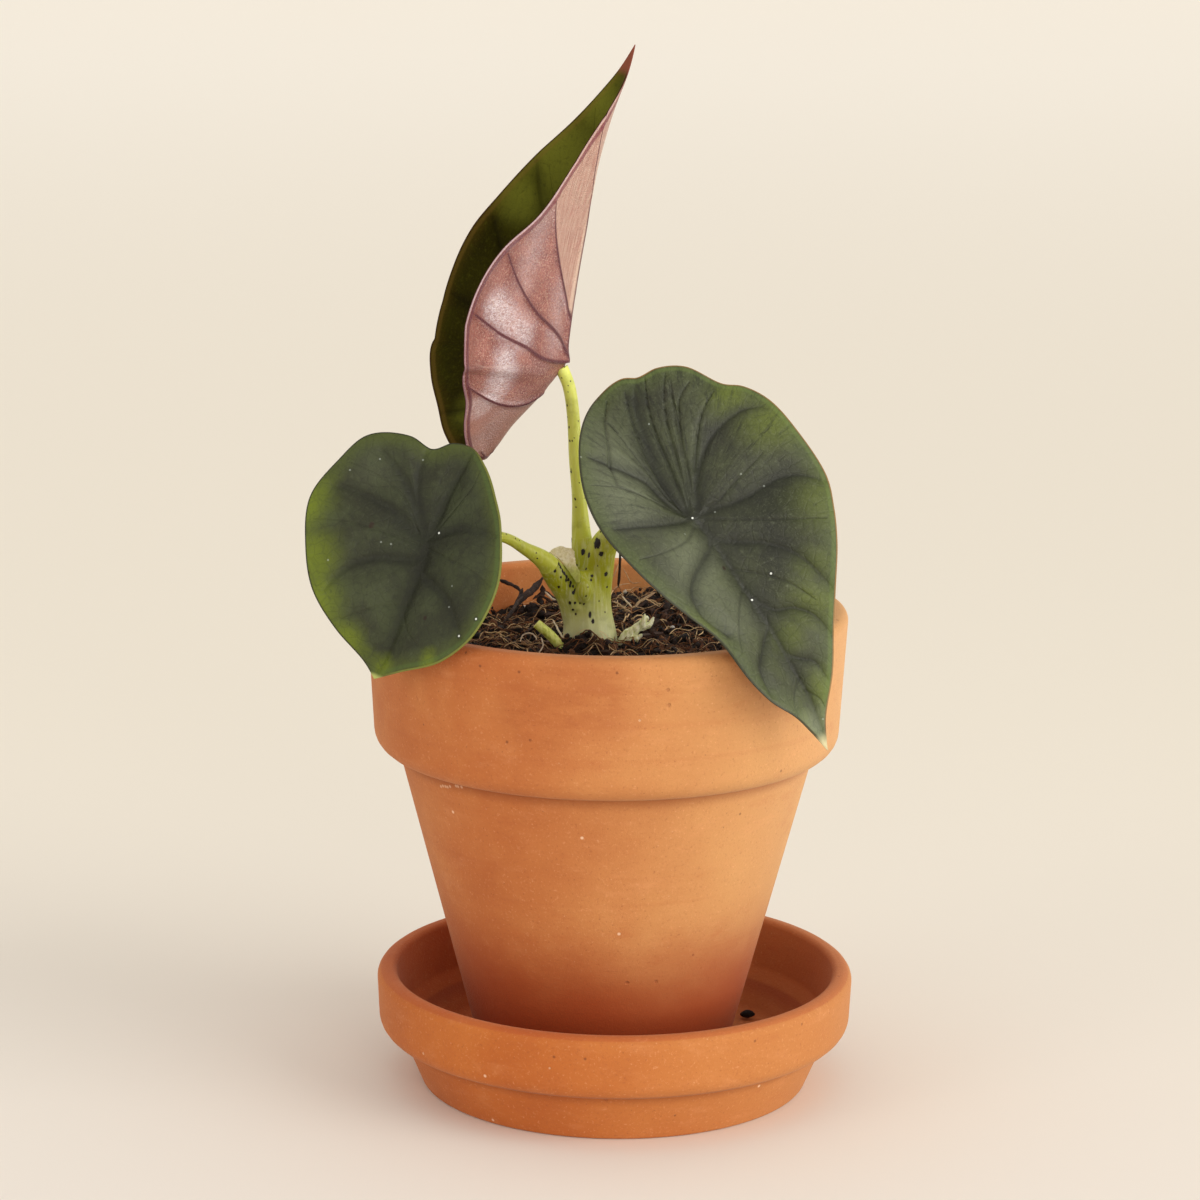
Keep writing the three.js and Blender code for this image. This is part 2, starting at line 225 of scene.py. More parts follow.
class Wire:
    def __init__(self, finish, socket):
        self.finish = finish
        self.socket = socket

    def maths(self, operation, other, swapped=False):
        first, second = (other, self) if swapped else (self, other)
        return self.finish.node("Math", {"operation": operation}, {0: first, 1: second})

    def __add__(self, other):
        return self.maths("ADD", other)

    def __sub__(self, other):
        return self.maths("SUBTRACT", other)

    def __rsub__(self, other):
        return self.maths("SUBTRACT", other, swapped=True)

    def __mul__(self, other):
        return self.maths("MULTIPLY", other)

    def __truediv__(self, other):
        return self.maths("DIVIDE", other)

    def __pow__(self, other):
        return self.maths("POWER", other)

    def atLeast(self, other):
        return self.maths("MAXIMUM", other)

    def atMost(self, other):
        return self.maths("MINIMUM", other)

    def between(self, low, high):
        # 0 at low, 1 at high, eased, and the other way round where low is the larger
        return self.finish.node("MapRange", {"interpolation_type": "SMOOTHSTEP"}, {
            "Value": self, "From Min": low, "From Max": high,
        })

    __radd__ = __add__
    __rmul__ = __mul__


class Finish:
    def __init__(self, name):
        self.material = bpy.data.materials.new(name)
        self.material.use_nodes = True
        self.tree = self.material.node_tree
        self.tree.nodes.clear()

    def node(self, kind, settings=None, values=None, output=0):
        step = self.tree.nodes.new("ShaderNode" + kind)
        for key, value in (settings or {}).items():
            if key == "stops":
                self.setStops(step.color_ramp, value)
            else:
                setattr(step, key, value)
        for key, value in (values or {}).items():
            if isinstance(value, Wire):
                self.tree.links.new(value.socket, step.inputs[key])
            else:
                step.inputs[key].default_value = value
        return Wire(self, step.outputs[output]) if step.outputs else None

    def setStops(self, ramp, stops):
        while len(ramp.elements) < len(stops):
            ramp.elements.new(1.0)
        for element, (place, colour) in zip(ramp.elements, stops):
            element.position = place
            element.color = (*colour, 1)

    def objectPlace(self):
        return self.node("TexCoord", output="Object")

    def attribute(self, name, output="Fac"):
        return self.node("Attribute", {"attribute_name": name}, output=output)

    def parts(self, vector):
        split = self.tree.nodes.new("ShaderNodeSeparateXYZ")
        self.tree.links.new(vector.socket, split.inputs[0])
        return [Wire(self, output) for output in split.outputs]

    def vector(self, x, y, z=0.0):
        return self.node("CombineXYZ", values={0: x, 1: y, 2: z})

    def stretch(self, vector, scale):
        return self.node("Mapping", values={"Vector": vector, "Scale": scale})

    def noise(self, vector, scale, detail=3.0, roughness=0.5, distortion=0.0):
        return self.node("TexNoise", values={
            "Vector": vector, "Scale": scale, "Detail": detail, "Roughness": roughness, "Distortion": distortion,
        })

    def cells(self, vector, scale, feature="F1", output="Distance"):
        return self.node("TexVoronoi", {"feature": feature}, {"Vector": vector, "Scale": scale}, output=output)

    def distance(self, first, second):
        return self.node("VectorMath", {"operation": "DISTANCE"}, {0: first, 1: tuple(second)}, output=1)

    def mix(self, share, first, second):
        def colour(value):
            return value if isinstance(value, Wire) else (*value, 1)
        return self.node("Mix", {"data_type": "RGBA"}, {0: share, 6: colour(first), 7: colour(second)}, output=2)

    def tint(self, share, colour):
        # lays one more colour over those already there
        self.colour = self.mix(share, self.colour, colour)

    def tints(self, *layers):
        # each layer is a value, where it starts and is full, how strong it is then, and its colour
        for value, start, full, most, colour in layers:
            self.tint(value.between(start, full) * most, colour)

    def ramp(self, value, *stops):
        return self.node("ValToRGB", {"stops": stops}, {0: value})

    def bump(self, height, distance, strength):
        return self.node("Bump", values={"Height": height, "Distance": distance, "Strength": strength})

    def spots(self, places, radius):
        # nearness to the closest of a few places, 1 at its middle and 0 from its radius outwards
        if not places:
            return 0.0
        here = self.objectPlace()
        nearest = None
        for place, in places:
            away = self.distance(here, place)
            nearest = away if nearest is None else nearest.atMost(away)
        return nearest.between(radius, radius * 0.4)

    def surface(self, rough, normal, gloss, **values):
        values = {
            "Base Color": self.colour, "Roughness": rough, "Normal": normal, "Specular IOR Level": gloss, **values,
        }
        self.node("OutputMaterial", values={"Surface": self.node("BsdfPrincipled", values=values)})
        return self.material


def rgb(red, green, blue):
    # a colour as the screen shows it, made linear for a shader
    def linear(share):
        return share / 12.92 if share <= 0.04045 else ((share + 0.055) / 1.055) ** 2.4
    return tuple(linear(value / 255) for value in (red, green, blue))


# Turned pottery

def roundedRings(corners, steps=6):
    # corners of [radius, height, rounding] in mm, each turned into a short arc
    rings = []
    count = len(corners)
    for i, (radius, height, rounding) in enumerate(corners):
        here = Vector((radius, height))
        if rounding == 0:
            rings.append(here)
            continue
        back = (Vector(corners[i - 1][:2]) - here).normalized()
        on = (Vector(corners[(i + 1) % count][:2]) - here).normalized()
        half = back.angle(on) / 2
        reach = rounding / math.tan(half)
        start, end = here + back * reach, here + on * reach
        centre = here + (back + on).normalized() * (rounding / math.sin(half))
        for k in range(steps + 1):
            rings.append(centre + (start.lerp(end, k / steps) - centre).normalized() * rounding)
    return rings


def fillRings(rings, spacing):
    # extra rings on the long straight runs
    filled = [rings[0]]
    for a, b in zip(rings, rings[1:]):
        pieces = max(1, round((b - a).length / spacing))
        filled += [a.lerp(b, k / pieces) for k in range(1, pieces + 1)]
    return filled


def turnPiece(name, rings, sides, middle=0.0):
    # a circle at the first ring, extruded and scaled from ring to ring
    clearSelection()
    least = 0.0005            # radius of a ring that closes on the axis, before it is merged
    start = rings[0]
    bpy.ops.mesh.primitive_circle_add(
        vertices=sides, radius=max(start.x, least) * mm, location=(middle * mm, 0, start.y * mm),
        enter_editmode=True,
    )
    for a, b in zip(rings, rings[1:]):
        widen = max(b.x, least) / max(a.x, least)
        bpy.ops.mesh.extrude_region_move(TRANSFORM_OT_translate={"value": (0, 0, (b.y - a.y) * mm)})
        bpy.ops.transform.resize(value=(widen, widen, 1), center_override=(middle * mm, 0, b.y * mm))
    bpy.ops.object.mode_set(mode="OBJECT")
    piece = bpy.context.object
    piece.name = name
    piece.data.name = name
    bpy.ops.object.transform_apply(location=True, rotation=True, scale=True)
    tidyMesh(piece)
    return piece


potShape = {
    "middle": -2.5,
    "sides": 160,
    "spacing": 6,
    "closed": True,           # the profile runs back to its start, round the drain hole
    # the last colour is painted light, on the right-hand side where the key light falls
    "deep": rgb(180, 98, 46), "clay": rgb(190, 109, 54), "light": rgb(202, 126, 67), "paintedLitSide": rgb(204, 154, 96),
    "crease": 0.0793,         # height of the crease under the band, where shade is painted, in metres
    "paintedInsideShade": -1,             # where the painted shade inside a saucer starts; a pot has none
    "foot": 0.95,             # how far the foot is redder
    "corners": [
        (6, 7, 0.6), (28.7, 7, 1), (47.7, 79.3, 1), (53.1, 80.1, 5), (55, 112.4, 2.2), (49.6, 112.4, 1.5),
        (47.8, 92, 4), (43.2, 79.3, 4), (24.8, 13, 2), (6, 13, 0.6),
    ],
    # dark specks, pale specks and long pits, as pixels of the picture
    "darkSpecks": [(781, 771), (480, 666), (519, 672), (617, 673), (507, 742), (740, 814), (693, 955)],
    "paleSpecks": [(453, 812), (619, 934), (582, 838)],
    "pits": [(669, 705), (668, 690), (656, 982), (627, 983), (837, 620)],
    "scratch": [
        (441, 786.5), (443, 786), (445.5, 786.5), (447.5, 787), (450, 786.5), (456, 786), (458, 786.5), (461.5, 787),
    ],
    # painted shadow of the leaves on the rim
    "paintedLeafShadows": [(538, 712), (562, 698), (590, 694)],
}

saucerShape = {
    "middle": 0,
    "sides": 160,
    "spacing": 5,
    "closed": False,
    # the last colour is painted light, on the right-hand side where the key light falls
    "deep": rgb(180, 93, 35), "clay": rgb(189, 101, 38), "light": rgb(198, 112, 46), "paintedLitSide": rgb(190, 124, 66),
    "crease": 0.0122,
    "paintedInsideShade": 0.0416,
    "foot": 0,
    "corners": [
        (0, 0, 0), (44.7, 0, 1), (49.6, 11.6, 0.8), (54.6, 12.6, 4.2), (55.3, 26.9, 2.4), (50.9, 26.9, 1.5),
        (48.8, 15.5, 3), (42, 7, 3), (0, 7, 0),
    ],
    "darkSpecks": [(554, 1057), (585, 1059), (755, 1041)],
    "paleSpecks": [(485, 1076), (759, 1086), (493, 1120)],
    "pits": [(606, 1100)], "scratch": [], "paintedLeafShadows": [],
}


clayMarks = {                 # radius in mm, strength and colour
    "darkSpecks": (0.45, 0.55, rgb(92, 40, 22)),
    "paleSpecks": (0.5, 0.6, rgb(255, 222, 188)),
    "scratch": (0.5, 0.35, rgb(255, 222, 188)),
    "pits": (0.55, 0.3, rgb(120, 54, 28)),
}


def makePottery(name, shape):
    rings = roundedRings(shape["corners"])
    if shape["closed"]:
        rings.append(rings[0])
    piece = turnPiece(name, fillRings(rings, shape["spacing"]), shape["sides"], shape["middle"])
    smoothShade(piece, angle=40)
    return piece


def terracotta(name, piece, shape):
    clay = Finish(name)
    here = clay.objectPlace()
    across, depth, height = clay.parts(here)
    clouds = clay.noise(here, 38, 4, 0.6)
    drifts = clay.noise(clay.stretch(here, (1, 1, 2.6)), 90, 5, 0.65)
    grain = clay.noise(here, 1500, 3, 0.7)
    fine = clay.noise(here, 4200, 2, 0.6)
    wheel = clay.stretch(here, (0.02, 0.02, 1))
    clay.colour = clay.ramp(clouds, (0.3, shape["deep"]), (0.5, shape["clay"]), (0.75, shape["light"]))
    # the first layer is painted light: the right-hand side lighter and yellower where the key light falls
    clay.tints(
        (across + clouds * 0.02, -0.025, 0.055, 0.85, shape["paintedLitSide"]),
        (drifts, 0.52, 0.75, 0.18, rgb(228, 160, 108)),
        (drifts, 0.44, 0.28, 0.2, rgb(176, 88, 44)),
        (grain, 0.56, 0.74, 0.3, rgb(236, 176, 128)),
        (grain, 0.44, 0.26, 0.38, rgb(150, 74, 38)),
        (clay.noise(wheel, 300, 3, 0.6), 0.56, 0.7, 0.12, rgb(170, 86, 44)),
    )
    # painted shade just under the band
    crease = shape["crease"]
    under = height.between(crease - 0.0035, crease) * height.between(crease + 0.001, crease + 0.0002)
    clay.tint(under * 0.55, rgb(136, 66, 28))
    # fine dark and pale mineral flecks, and sparser, larger dots
    flecks = clay.cells(here, 620).between(0.16, 0.06)
    fleckPick = clay.parts(clay.cells(here, 620, output="Color"))[2]
    clay.tint(flecks * fleckPick.between(0.74, 0.8) * 0.35, rgb(122, 60, 32))
    clay.tint(flecks * fleckPick.between(0.12, 0.08) * 0.2, rgb(246, 200, 156))
    rare = clay.parts(clay.cells(here, 210, output="Color"))
    dots = clay.cells(here, 210).between(0.085, 0.05) * rare[0].between(0.8, 0.84)
    pale = rare[1].between(0.62, 0.66)
    clay.tint(dots * (1 - pale) * 0.5, rgb(96, 44, 24))
    clay.tint(dots * pale * 0.4, rgb(246, 206, 168))
    # marks that lie where the picture has them
    # painted shadow of the leaves on the rim, broken up by the clouds
    paintedLeafShadows = clay.spots(castOn(piece, shape["paintedLeafShadows"]), 13 * mm)
    clay.tint(paintedLeafShadows * (clouds + drifts).between(0.75, 1.15) * 0.45, rgb(160, 78, 32))
    marks = {}
    for kind, (radius, strength, tone) in clayMarks.items():
        marks[kind] = clay.spots(castOn(piece, shape[kind]), radius * mm)
        clay.tint(marks[kind] * strength, tone)
    # a little redder and darker towards the foot
    clay.tint((height + clouds * 0.012).between(0.058, 0.028) * shape["foot"], rgb(156, 60, 12))
    # painted shade: the inside of the saucer is darker and redder, in a cone that follows its wall
    reach = (across * across + depth * depth) ** 0.5 - height * 0.5
    paintedInsideShade = reach.between(shape["paintedInsideShade"], shape["paintedInsideShade"] - 0.0006) * height.between(0.005, 0.006)
    clay.tint(paintedInsideShade * 0.35, rgb(168, 66, 32))
    relief = grain * 0.5 + fine * 0.3 + drifts * 0.6 - marks["pits"] * 1.2 - marks["darkSpecks"] * 0.3 - dots * 0.6
    normal = clay.bump(relief + clay.noise(wheel, 420, 2, 0.5) * 0.25, 0.00035, 0.55)
    return clay.surface(grain.between(0.2, 0.8) * 0.12 + 0.78, normal, 0.4, **{
        "Sheen Weight": 0.12, "Sheen Roughness": 0.4, "Sheen Tint": (1, 0.86, 0.6, 1),
    })


saucer = makePottery("saucer_turned", saucerShape)
pot = makePottery("pot_turned", potShape)
keep(saucer, [terracotta("terracottaSaucer", saucer, saucerShape)], ["saucer"])
keep(pot, [terracotta("terracottaPot", pot, potShape)], ["pot"])
print("pottery turned:", len(pot.data.polygons) + len(saucer.data.polygons), "faces")


# Blades. Each is drawn flat about its junction with the stalk, in mm, x towards the tip, then folded
# along its midrib and bent, by the same rule and values as the solids.

bladeCommon = {
    "foldRounding": 2,
    "twistStart": 8,
    "twistLength": 37,
    "thickness": 0.55,
    "veinSteps": 30,
    "veinTaper": 0.6,         # a vein ends this share narrower than it starts
    "spokes": 384,
    "rings": 88,
    "slices": 24,             # steps in which the fold is summed up from the midrib outwards
    "marginWave": 0.45,
    "waves": 7,
    "grooveWidth": 1.1,       # a vein sinks into the upper side over this width
    "fineGroove": 0.25,       # depth of a fine vein's groove, as a share of a main one's
    "pleatDepth": 0.3,
    "pleatWidth": 0.7,
    "grooveStart": 2.5,       # the grooves reach their depth this far from the junction
    "swellWidth": 5.5,        # the tissue between the veins rises over this width
    "ribHeight": 0.4,         # a main vein stands out this far underneath
    "ribWidth": 0.6,
    "keelHeight": 0.9,        # the midrib underneath
    "keelWidth": 1.1,
    "hubHeight": 0.9,         # the lump under the junction, where the stalk joins
    "hubWidth": 2.1,
    "edgeWidth": 0.5,         # the margin thins over this width
    "edgeShare": 0.35,        # to this share of the thickness
}

blades = {
    "left": {
        "junction": (-43.2, -28, 131.7), "azimuth": -20, "elevation": 30, "roll": -13.7,
        "tipBend": -0.01, "baseBend": -0.004, "baseReach": 100, "baseFollow": 1,
        "fold": 0.52, "edgeBend": -0.011, "twist": 0, "groove": 0.4, "swell": 0.9,
        "outline": [
            (31.6, 0), (28, 7), (22.5, 17.2), (15, 23.8), (5, 24.4), (-8, 19), (-15, 12.6), (-21, 6.4),
            (-24.4, 0.8), (-24, -4), (-20.9, -7.6), (-21.4, -13.4), (-17.6, -22), (-10.3, -25.7),
            (-0.5, -27.8), (9.3, -24.6), (17.1, -19.9), (23.8, -11.7), (28.6, -3.6), (31.6, 0),
        ],
        "mainVeins": [
            (1.5, [(0, 0), (2.6, 1.4), (5.9, 2), (11, 1.9), (16.1, 1.9), (21.2, 1.8), (27.6, 1.1), (31, 0.2)]),
            (1.1, [(3.5, 1.8), (6.2, 2.6), (7.5, 5.9), (9.9, 12.3), (14.5, 18.1), (17, 20.5)]),
            (1.1, [(2.6, 1.4), (3.6, -0.2), (4.7, -3), (6.6, -8.7), (9.4, -12.7), (13.5, -15.5), (17, -16.8)]),
            (1.2, [(0, 0), (-1.3, -1), (-2.7, -5), (-4.6, -9.8), (-4.9, -13.9), (-5.2, -19.3), (-4.4, -24)]),
            (1.1, [(0, 0), (-1.9, -0.7), (-5.9, -3.8), (-10.1, -8.1), (-13.4, -12.6), (-15.6, -17.5)]),
            (1.1, [(0, 0), (-1.3, -0.4), (-6.9, -4.6), (-12.5, -7.2), (-19, -8.6), (-20.9, -8.2)]),
            (1.1, [(0, 0), (-1.5, 0.2), (-6.3, 0.7), (-12.4, 0.5), (-17.3, 0.9), (-22.5, 1.2)]),
            (1.2, [(0, 0), (-1.5, 0.2), (-3.7, 3.7), (-5.6, 8.4), (-5.9, 14.9), (-5.4, 18.5)]),
        ],
        "fineVeins": [
            (0.6, [(16, 1.9), (19, 5), (21, 9), (21.6, 14)]),
            (0.6, [(14, 1.9), (16, -3.5), (19.6, -8.6), (21.5, -11)]),
            (0.5, [(-1, 0.4), (-8, 3.5), (-15, 6.2), (-20, 6)]),
            (0.5, [(0.6, 1), (1.8, 9), (3, 17), (5, 23)]),
            (0.5, [(0.5, -1), (0.8, -9), (2, -18), (4, -25)]),
            (0.5, [(-2, -2.2), (-8, -8.5), (-10, -15), (-10.5, -23)]),
        ],
        "pleats": [],
    },
    "right": {
        "junction": (16, -33, 139.4), "azimuth": 22, "elevation": 38, "roll": 23.4,
        "tipBend": -0.007, "baseBend": -0.004, "baseReach": 100, "baseFollow": 1,
        "fold": 0.58, "edgeBend": -0.011, "twist": 0, "groove": 0.55, "swell": 1.25,
        "outline": [
            (59, 0), (52.6, 2.5), (44.3, 8.6), (35.6, 13.8), (28.5, 18.4), (21, 23.6), (14.5, 27.4), (7.8, 30.3),
            (-3.9, 30.7), (-13, 29.8), (-18.5, 27.2), (-21.6, 23.9), (-29.4, 19.8), (-32.8, 14.5),
            (-33.6, 10), (-35.8, 6.5), (-35.6, 0.5), (-28.6, -12.2), (-22, -19.4), (-13.4, -24.8),
            (-3, -27.4), (6.8, -26.2), (13.6, -23.4), (19.4, -19.6), (26, -15.6), (36.6, -13.9),
            (42.7, -10.7), (49.1, -4.2), (53.5, -1.9), (59, 0),
        ],
        "mainVeins": [
            (1.6, [(0, 0), (6.4, 0.8), (13.5, 0.5), (19.8, 0.6), (29.2, 1), (38.2, 1), (47.2, 1.3), (58, 0.2)]),
            (1.3, [(0, 1), (1.1, 6.3), (2.1, 9.3), (2.6, 13.3), (2.7, 17.5), (3.1, 21.5), (5, 25.5), (8.5, 29.2)]),
            (1.3, [(5.5, 0.7), (7, 1.4), (9.8, 5.1), (12.7, 9.4), (16.5, 13.1), (20.9, 15.5), (28.4, 17.3)]),
            (1.0, [(21, 0.8), (24, 2), (26.6, 4), (28.2, 7.8), (31.7, 10.9), (36.8, 12.2)]),
            (0.8, [(36, 1), (38, 3), (40.5, 6), (45, 6.8)]),
            (1.1, [(5.5, 0.6), (7.7, -1.2), (10, -6.3), (12.5, -12), (15.4, -15.4), (20.1, -16.1), (26.5, -12.6)]),
            (0.8, [(29, 0.8), (32.9, -4.5), (36.1, -8.6), (41.7, -9.6)]),
            (1.0, [(0, 0), (-0.1, -2.4), (-1.1, -10.2), (-2.3, -16.2), (-4, -24)]),
            (1.2, [(0, 0), (-2.1, -1.9), (-6.8, -4.6), (-11.6, -5.6), (-14.6, -8.5), (-17.9, -12.4), (-21.5, -17)]),
            (1.9, [(0, 0), (-1.6, -0.9), (-7, -1.6), (-14.3, 0.1), (-22, 2.6), (-28.4, 5.2), (-34, 9.4)]),
            (1.2, [(0, 1), (-2.4, 2.8), (-5.6, 4.6), (-9.5, 8.6), (-12.2, 12.8), (-13.7, 17.8), (-13.9, 23.4),
                   (-12.2, 27.6)]),
        ],
        "fineVeins": [
            (0.7, [(-0.3, 4), (-0.3, 7.3), (-1.3, 10.7), (-2, 14.5), (-3.3, 20.8)]),
            (0.7, [(2, -1.5), (4.4, -7.3), (5.1, -17.6), (4.4, -24)]),
            (0.7, [(19, 0.6), (22, -4), (26, -9), (31, -12.3)]),
            (0.6, [(14, 0.6), (18, 5), (23, 9.5), (29, 12.8)]),
            (0.5, [(45, 1.2), (48, 3.2), (50, 3.4)]),
            (0.5, [(42, 1.2), (45, -2.6), (47.5, -4)]),
            (0.6, [(1.6, 2), (6.5, 9), (11.5, 17), (15.5, 24.5)]),
            (0.6, [(-0.5, -1.2), (-6.5, -8), (-11.5, -15), (-15, -22)]),
        ],
        "pleats": [
            (0.8, [(-1.6, -0.5), (-11.8, 2.2), (-20.5, 4.7), (-26.8, 7.3), (-32.6, 10.9)]),
            (0.8, [(-1.7, 0.2), (-7.1, 2.5), (-14.2, 5.2), (-22.1, 8.7), (-26.9, 11.8), (-30.5, 15)]),
            (0.8, [(-2.1, 0.5), (-8.3, 3.9), (-15.1, 7.3), (-21.7, 10.8), (-28.3, 14.8)]),
            (0.8, [(-2.1, 1.4), (-8.8, 4.8), (-14.8, 7.6), (-20.4, 11), (-24, 14), (-25.8, 18)]),
            (0.8, [(-1.3, -1.3), (-10.3, -1.3), (-18.9, 0.2), (-27.7, 3), (-32.6, 5.4)]),
            (0.7, [(-9, 6.6), (-14, 11), (-18.5, 16), (-21, 21)]),
            (0.7, [(-13.1, -15.6), (-19.9, -11.2), (-26.8, -5.8), (-33.4, 0.9)]),
            (0.7, [(-6, -2.6), (-14, -3.2), (-22, -3.4), (-30, -3.6)]),
        ],
    },
    "rear": {
        "junction": (-14.1, 2, 168.2), "azimuth": -81, "elevation": 6.2, "roll": -178.9,
        "tipBend": -0.0034, "baseBend": 0.11, "baseReach": 5.5, "baseFollow": 0.25,
        "fold": 1.02, "edgeBend": -0.002, "twist": 0.006, "groove": 0.3, "swell": 0.55,
        "outline": [
            (73, 0), (67, 1.8), (60.5, 4.9), (53, 9.2), (43, 16), (33, 22.5), (24.5, 28.3), (16, 32.2),
            (6, 34.8), (-5, 34.4), (-13, 29), (-20, 21.6), (-26, 14.5), (-29.2, 8), (-28, 0), (-27.6, -8.2),
            (-22.9, -15), (-19, -18.8), (-14, -22.9), (-5, -32.8), (6, -35.4), (16, -34.6), (24.5, -31),
            (33, -22.6), (43, -15.6), (53, -9), (60.5, -4.9), (67, -1.8), (73, 0),
        ],
        "mainVeins": [
            (1.0, [(0, 0), (25, -0.4), (32, -0.8), (38, -2), (43.6, -4.6), (47.9, -5.7), (52.2, -6.7), (60.8, -7.2)]),
            (1.1, [(9.6, -0.2), (13, -2.5), (18.1, -6.4), (22.6, -9.8), (26.9, -12.9), (31.8, -16), (35.9, -18.2)]),
            (1.2, [(0.8, 0), (2, -0.6), (4.5, -2.2), (8, -7.4), (10.7, -12.7), (14.5, -18.4), (18.2, -23.1),
                   (23.6, -29)]),
            (1.3, [(0, 0), (0.4, -5.7), (1.6, -10.6), (3.6, -15.2), (5.2, -20.4), (6.7, -24.8), (8.8, -29.4),
                   (10.4, -33.4)]),
            (1.1, [(-8.1, -1.8), (-10, -3.5), (-11.6, -6.3), (-12.4, -10.6), (-12, -16.3), (-10.8, -21.6),
                   (-9.2, -27)]),
            (0.8, [(-25.2, -2), (-26.7, -3.1), (-25.4, -7.3)]),
            (1.0, [(7, 0), (12, 2.2), (19, 5), (28, 9), (36, 13), (42, 15)]),
            (1.0, [(1.5, 0), (3.6, 3), (7.9, 9), (14, 15), (20, 19), (28, 23)]),
            (1.0, [(0, 0), (1.2, 5), (3.2, 12.7), (7, 24), (9.9, 31.8)]),
            (1.0, [(0, 0), (-5, 1.6), (-9.9, 4), (-14, 8.4), (-18, 14), (-21, 19)]),
        ],
        "fineVeins": [
            (0.5, [(15.8, -11.8), (13, -9.9), (10.2, -9)]),
            (0.5, [(0.2, -30.7), (-1.4, -26.5), (-0.3, -20.3), (-1.1, -13.5)]),
            (0.4, [(-0.6, -20), (-5, -23), (-8, -24)]),
            (0.4, [(22, -16), (24, -20), (27, -24.5)]),
            (0.4, [(9, -24), (12, -27), (15, -31)]),
            (0.4, [(-14, -10), (-18, -11.5), (-21, -13)]),
            (0.4, [(0.4, 3), (-1.5, 10), (-1, 18), (0, 25), (1, 32)]),
            (0.4, [(16, 0), (24, 3.6), (33, 8), (42, 12)]),
            (0.4, [(5, 13), (9, 18), (14, 24), (17, 29)]),
            (0.4, [(-2, 3), (-9, 11), (-14, 19), (-16, 24)]),
            (0.4, [(45, 0), (51, 2.6), (57, 4.6)]),
        ],
        "pleats": [],
    },
}


def bladeAxes(blade):
    azimuth, elevation, roll = (math.radians(blade[key]) for key in ("azimuth", "elevation", "roll"))
    facing = Vector((
        math.sin(azimuth) * math.cos(elevation), -math.cos(azimuth) * math.cos(elevation), math.sin(elevation),
    ))
    down = (Vector((0, 0, -1)) + facing * facing.z).normalized()
    level = facing.cross(down)
    ahead = down * math.cos(roll) + level * math.sin(roll)
    side = facing.cross(ahead)
    return (np.array(axis) for axis in (ahead, side, facing))


def bladePlaces(blade, x, y):
    # where the flat blade's points x, y come to lie, in mm
    ahead, side, facing = bladeAxes(blade)
    bend = np.where(x > 0, blade["tipBend"], blade["baseBend"])
    bent = np.where(x > 0, x, np.maximum(x, -blade["baseReach"]))
    angle = bend * bent
    forward = np.sin(angle) / bend + (x - bent) * np.cos(angle)
    lift = (1 - np.cos(angle)) / bend + (x - bent) * np.sin(angle)
    turn = np.where(x > 0, angle, angle * blade["baseFollow"])
    normal = np.cos(turn)[:, None] * facing - np.sin(turn)[:, None] * ahead
    twist = blade["twist"] * np.clip(x - bladeCommon["twistStart"], 0, bladeCommon["twistLength"])
    across = np.cos(twist)[:, None] * side + np.sin(twist)[:, None] * normal
    up = np.cos(twist)[:, None] * normal - np.sin(twist)[:, None] * side
    reach = np.abs(y)
    out = np.zeros_like(reach)
    raised = np.zeros_like(reach)
    slices = bladeCommon["slices"]
    for i in range(slices):
        at = reach * (i + 0.5) / slices
        slope = blade["fold"] * at / (at + bladeCommon["foldRounding"]) + blade["edgeBend"] * at
        out += np.cos(slope) * reach / slices
        raised += np.sin(slope) * reach / slices
    return (
        np.array(blade["junction"]) + forward[:, None] * ahead + lift[:, None] * facing
        + (np.sign(y) * out)[:, None] * across + raised[:, None] * up
    )


def bladeNormals(blade, x, y):
    step = 0.4
    alongX = bladePlaces(blade, x + step, y) - bladePlaces(blade, x - step, y)
    alongY = bladePlaces(blade, x, y + step) - bladePlaces(blade, x, y - step)
    normal = np.cross(alongX, alongY)
    return normal / np.linalg.norm(normal, axis=1)[:, None]


def toPaths(points, paths):
    # for each flat point the way to the nearest path, in widths of that path there, and its length
    best = np.full(len(points), 1e9)
    way = np.zeros((len(points), 2))
    for width, path in paths:
        line = smoothPath([(*p, 0) for p in path], bladeCommon["veinSteps"])[:, :2]
        for i, (a, b) in enumerate(zip(line, line[1:])):
            here = width * (1 - bladeCommon["veinTaper"] * i / (len(line) - 1))
            along = b - a
            share = np.clip(((points - a) @ along) / (along @ along), 0, 1)
            offset = (a + share[:, None] * along - points) / here
            length = np.linalg.norm(offset, axis=1)
            nearer = length < best
            best[nearer] = length[nearer]
            way[nearer] = offset[nearer]
    return way, best


def toMargin(points, margin):
    best = np.full(len(points), 1e9)
    for a, b in zip(margin, np.roll(margin, -1, axis=0)):
        along = b - a
        share = np.clip(((points - a) @ along) / max(along @ along, 1e-9), 0, 1)
        best = np.minimum(best, np.linalg.norm(a + share[:, None] * along - points, axis=1))
    return best


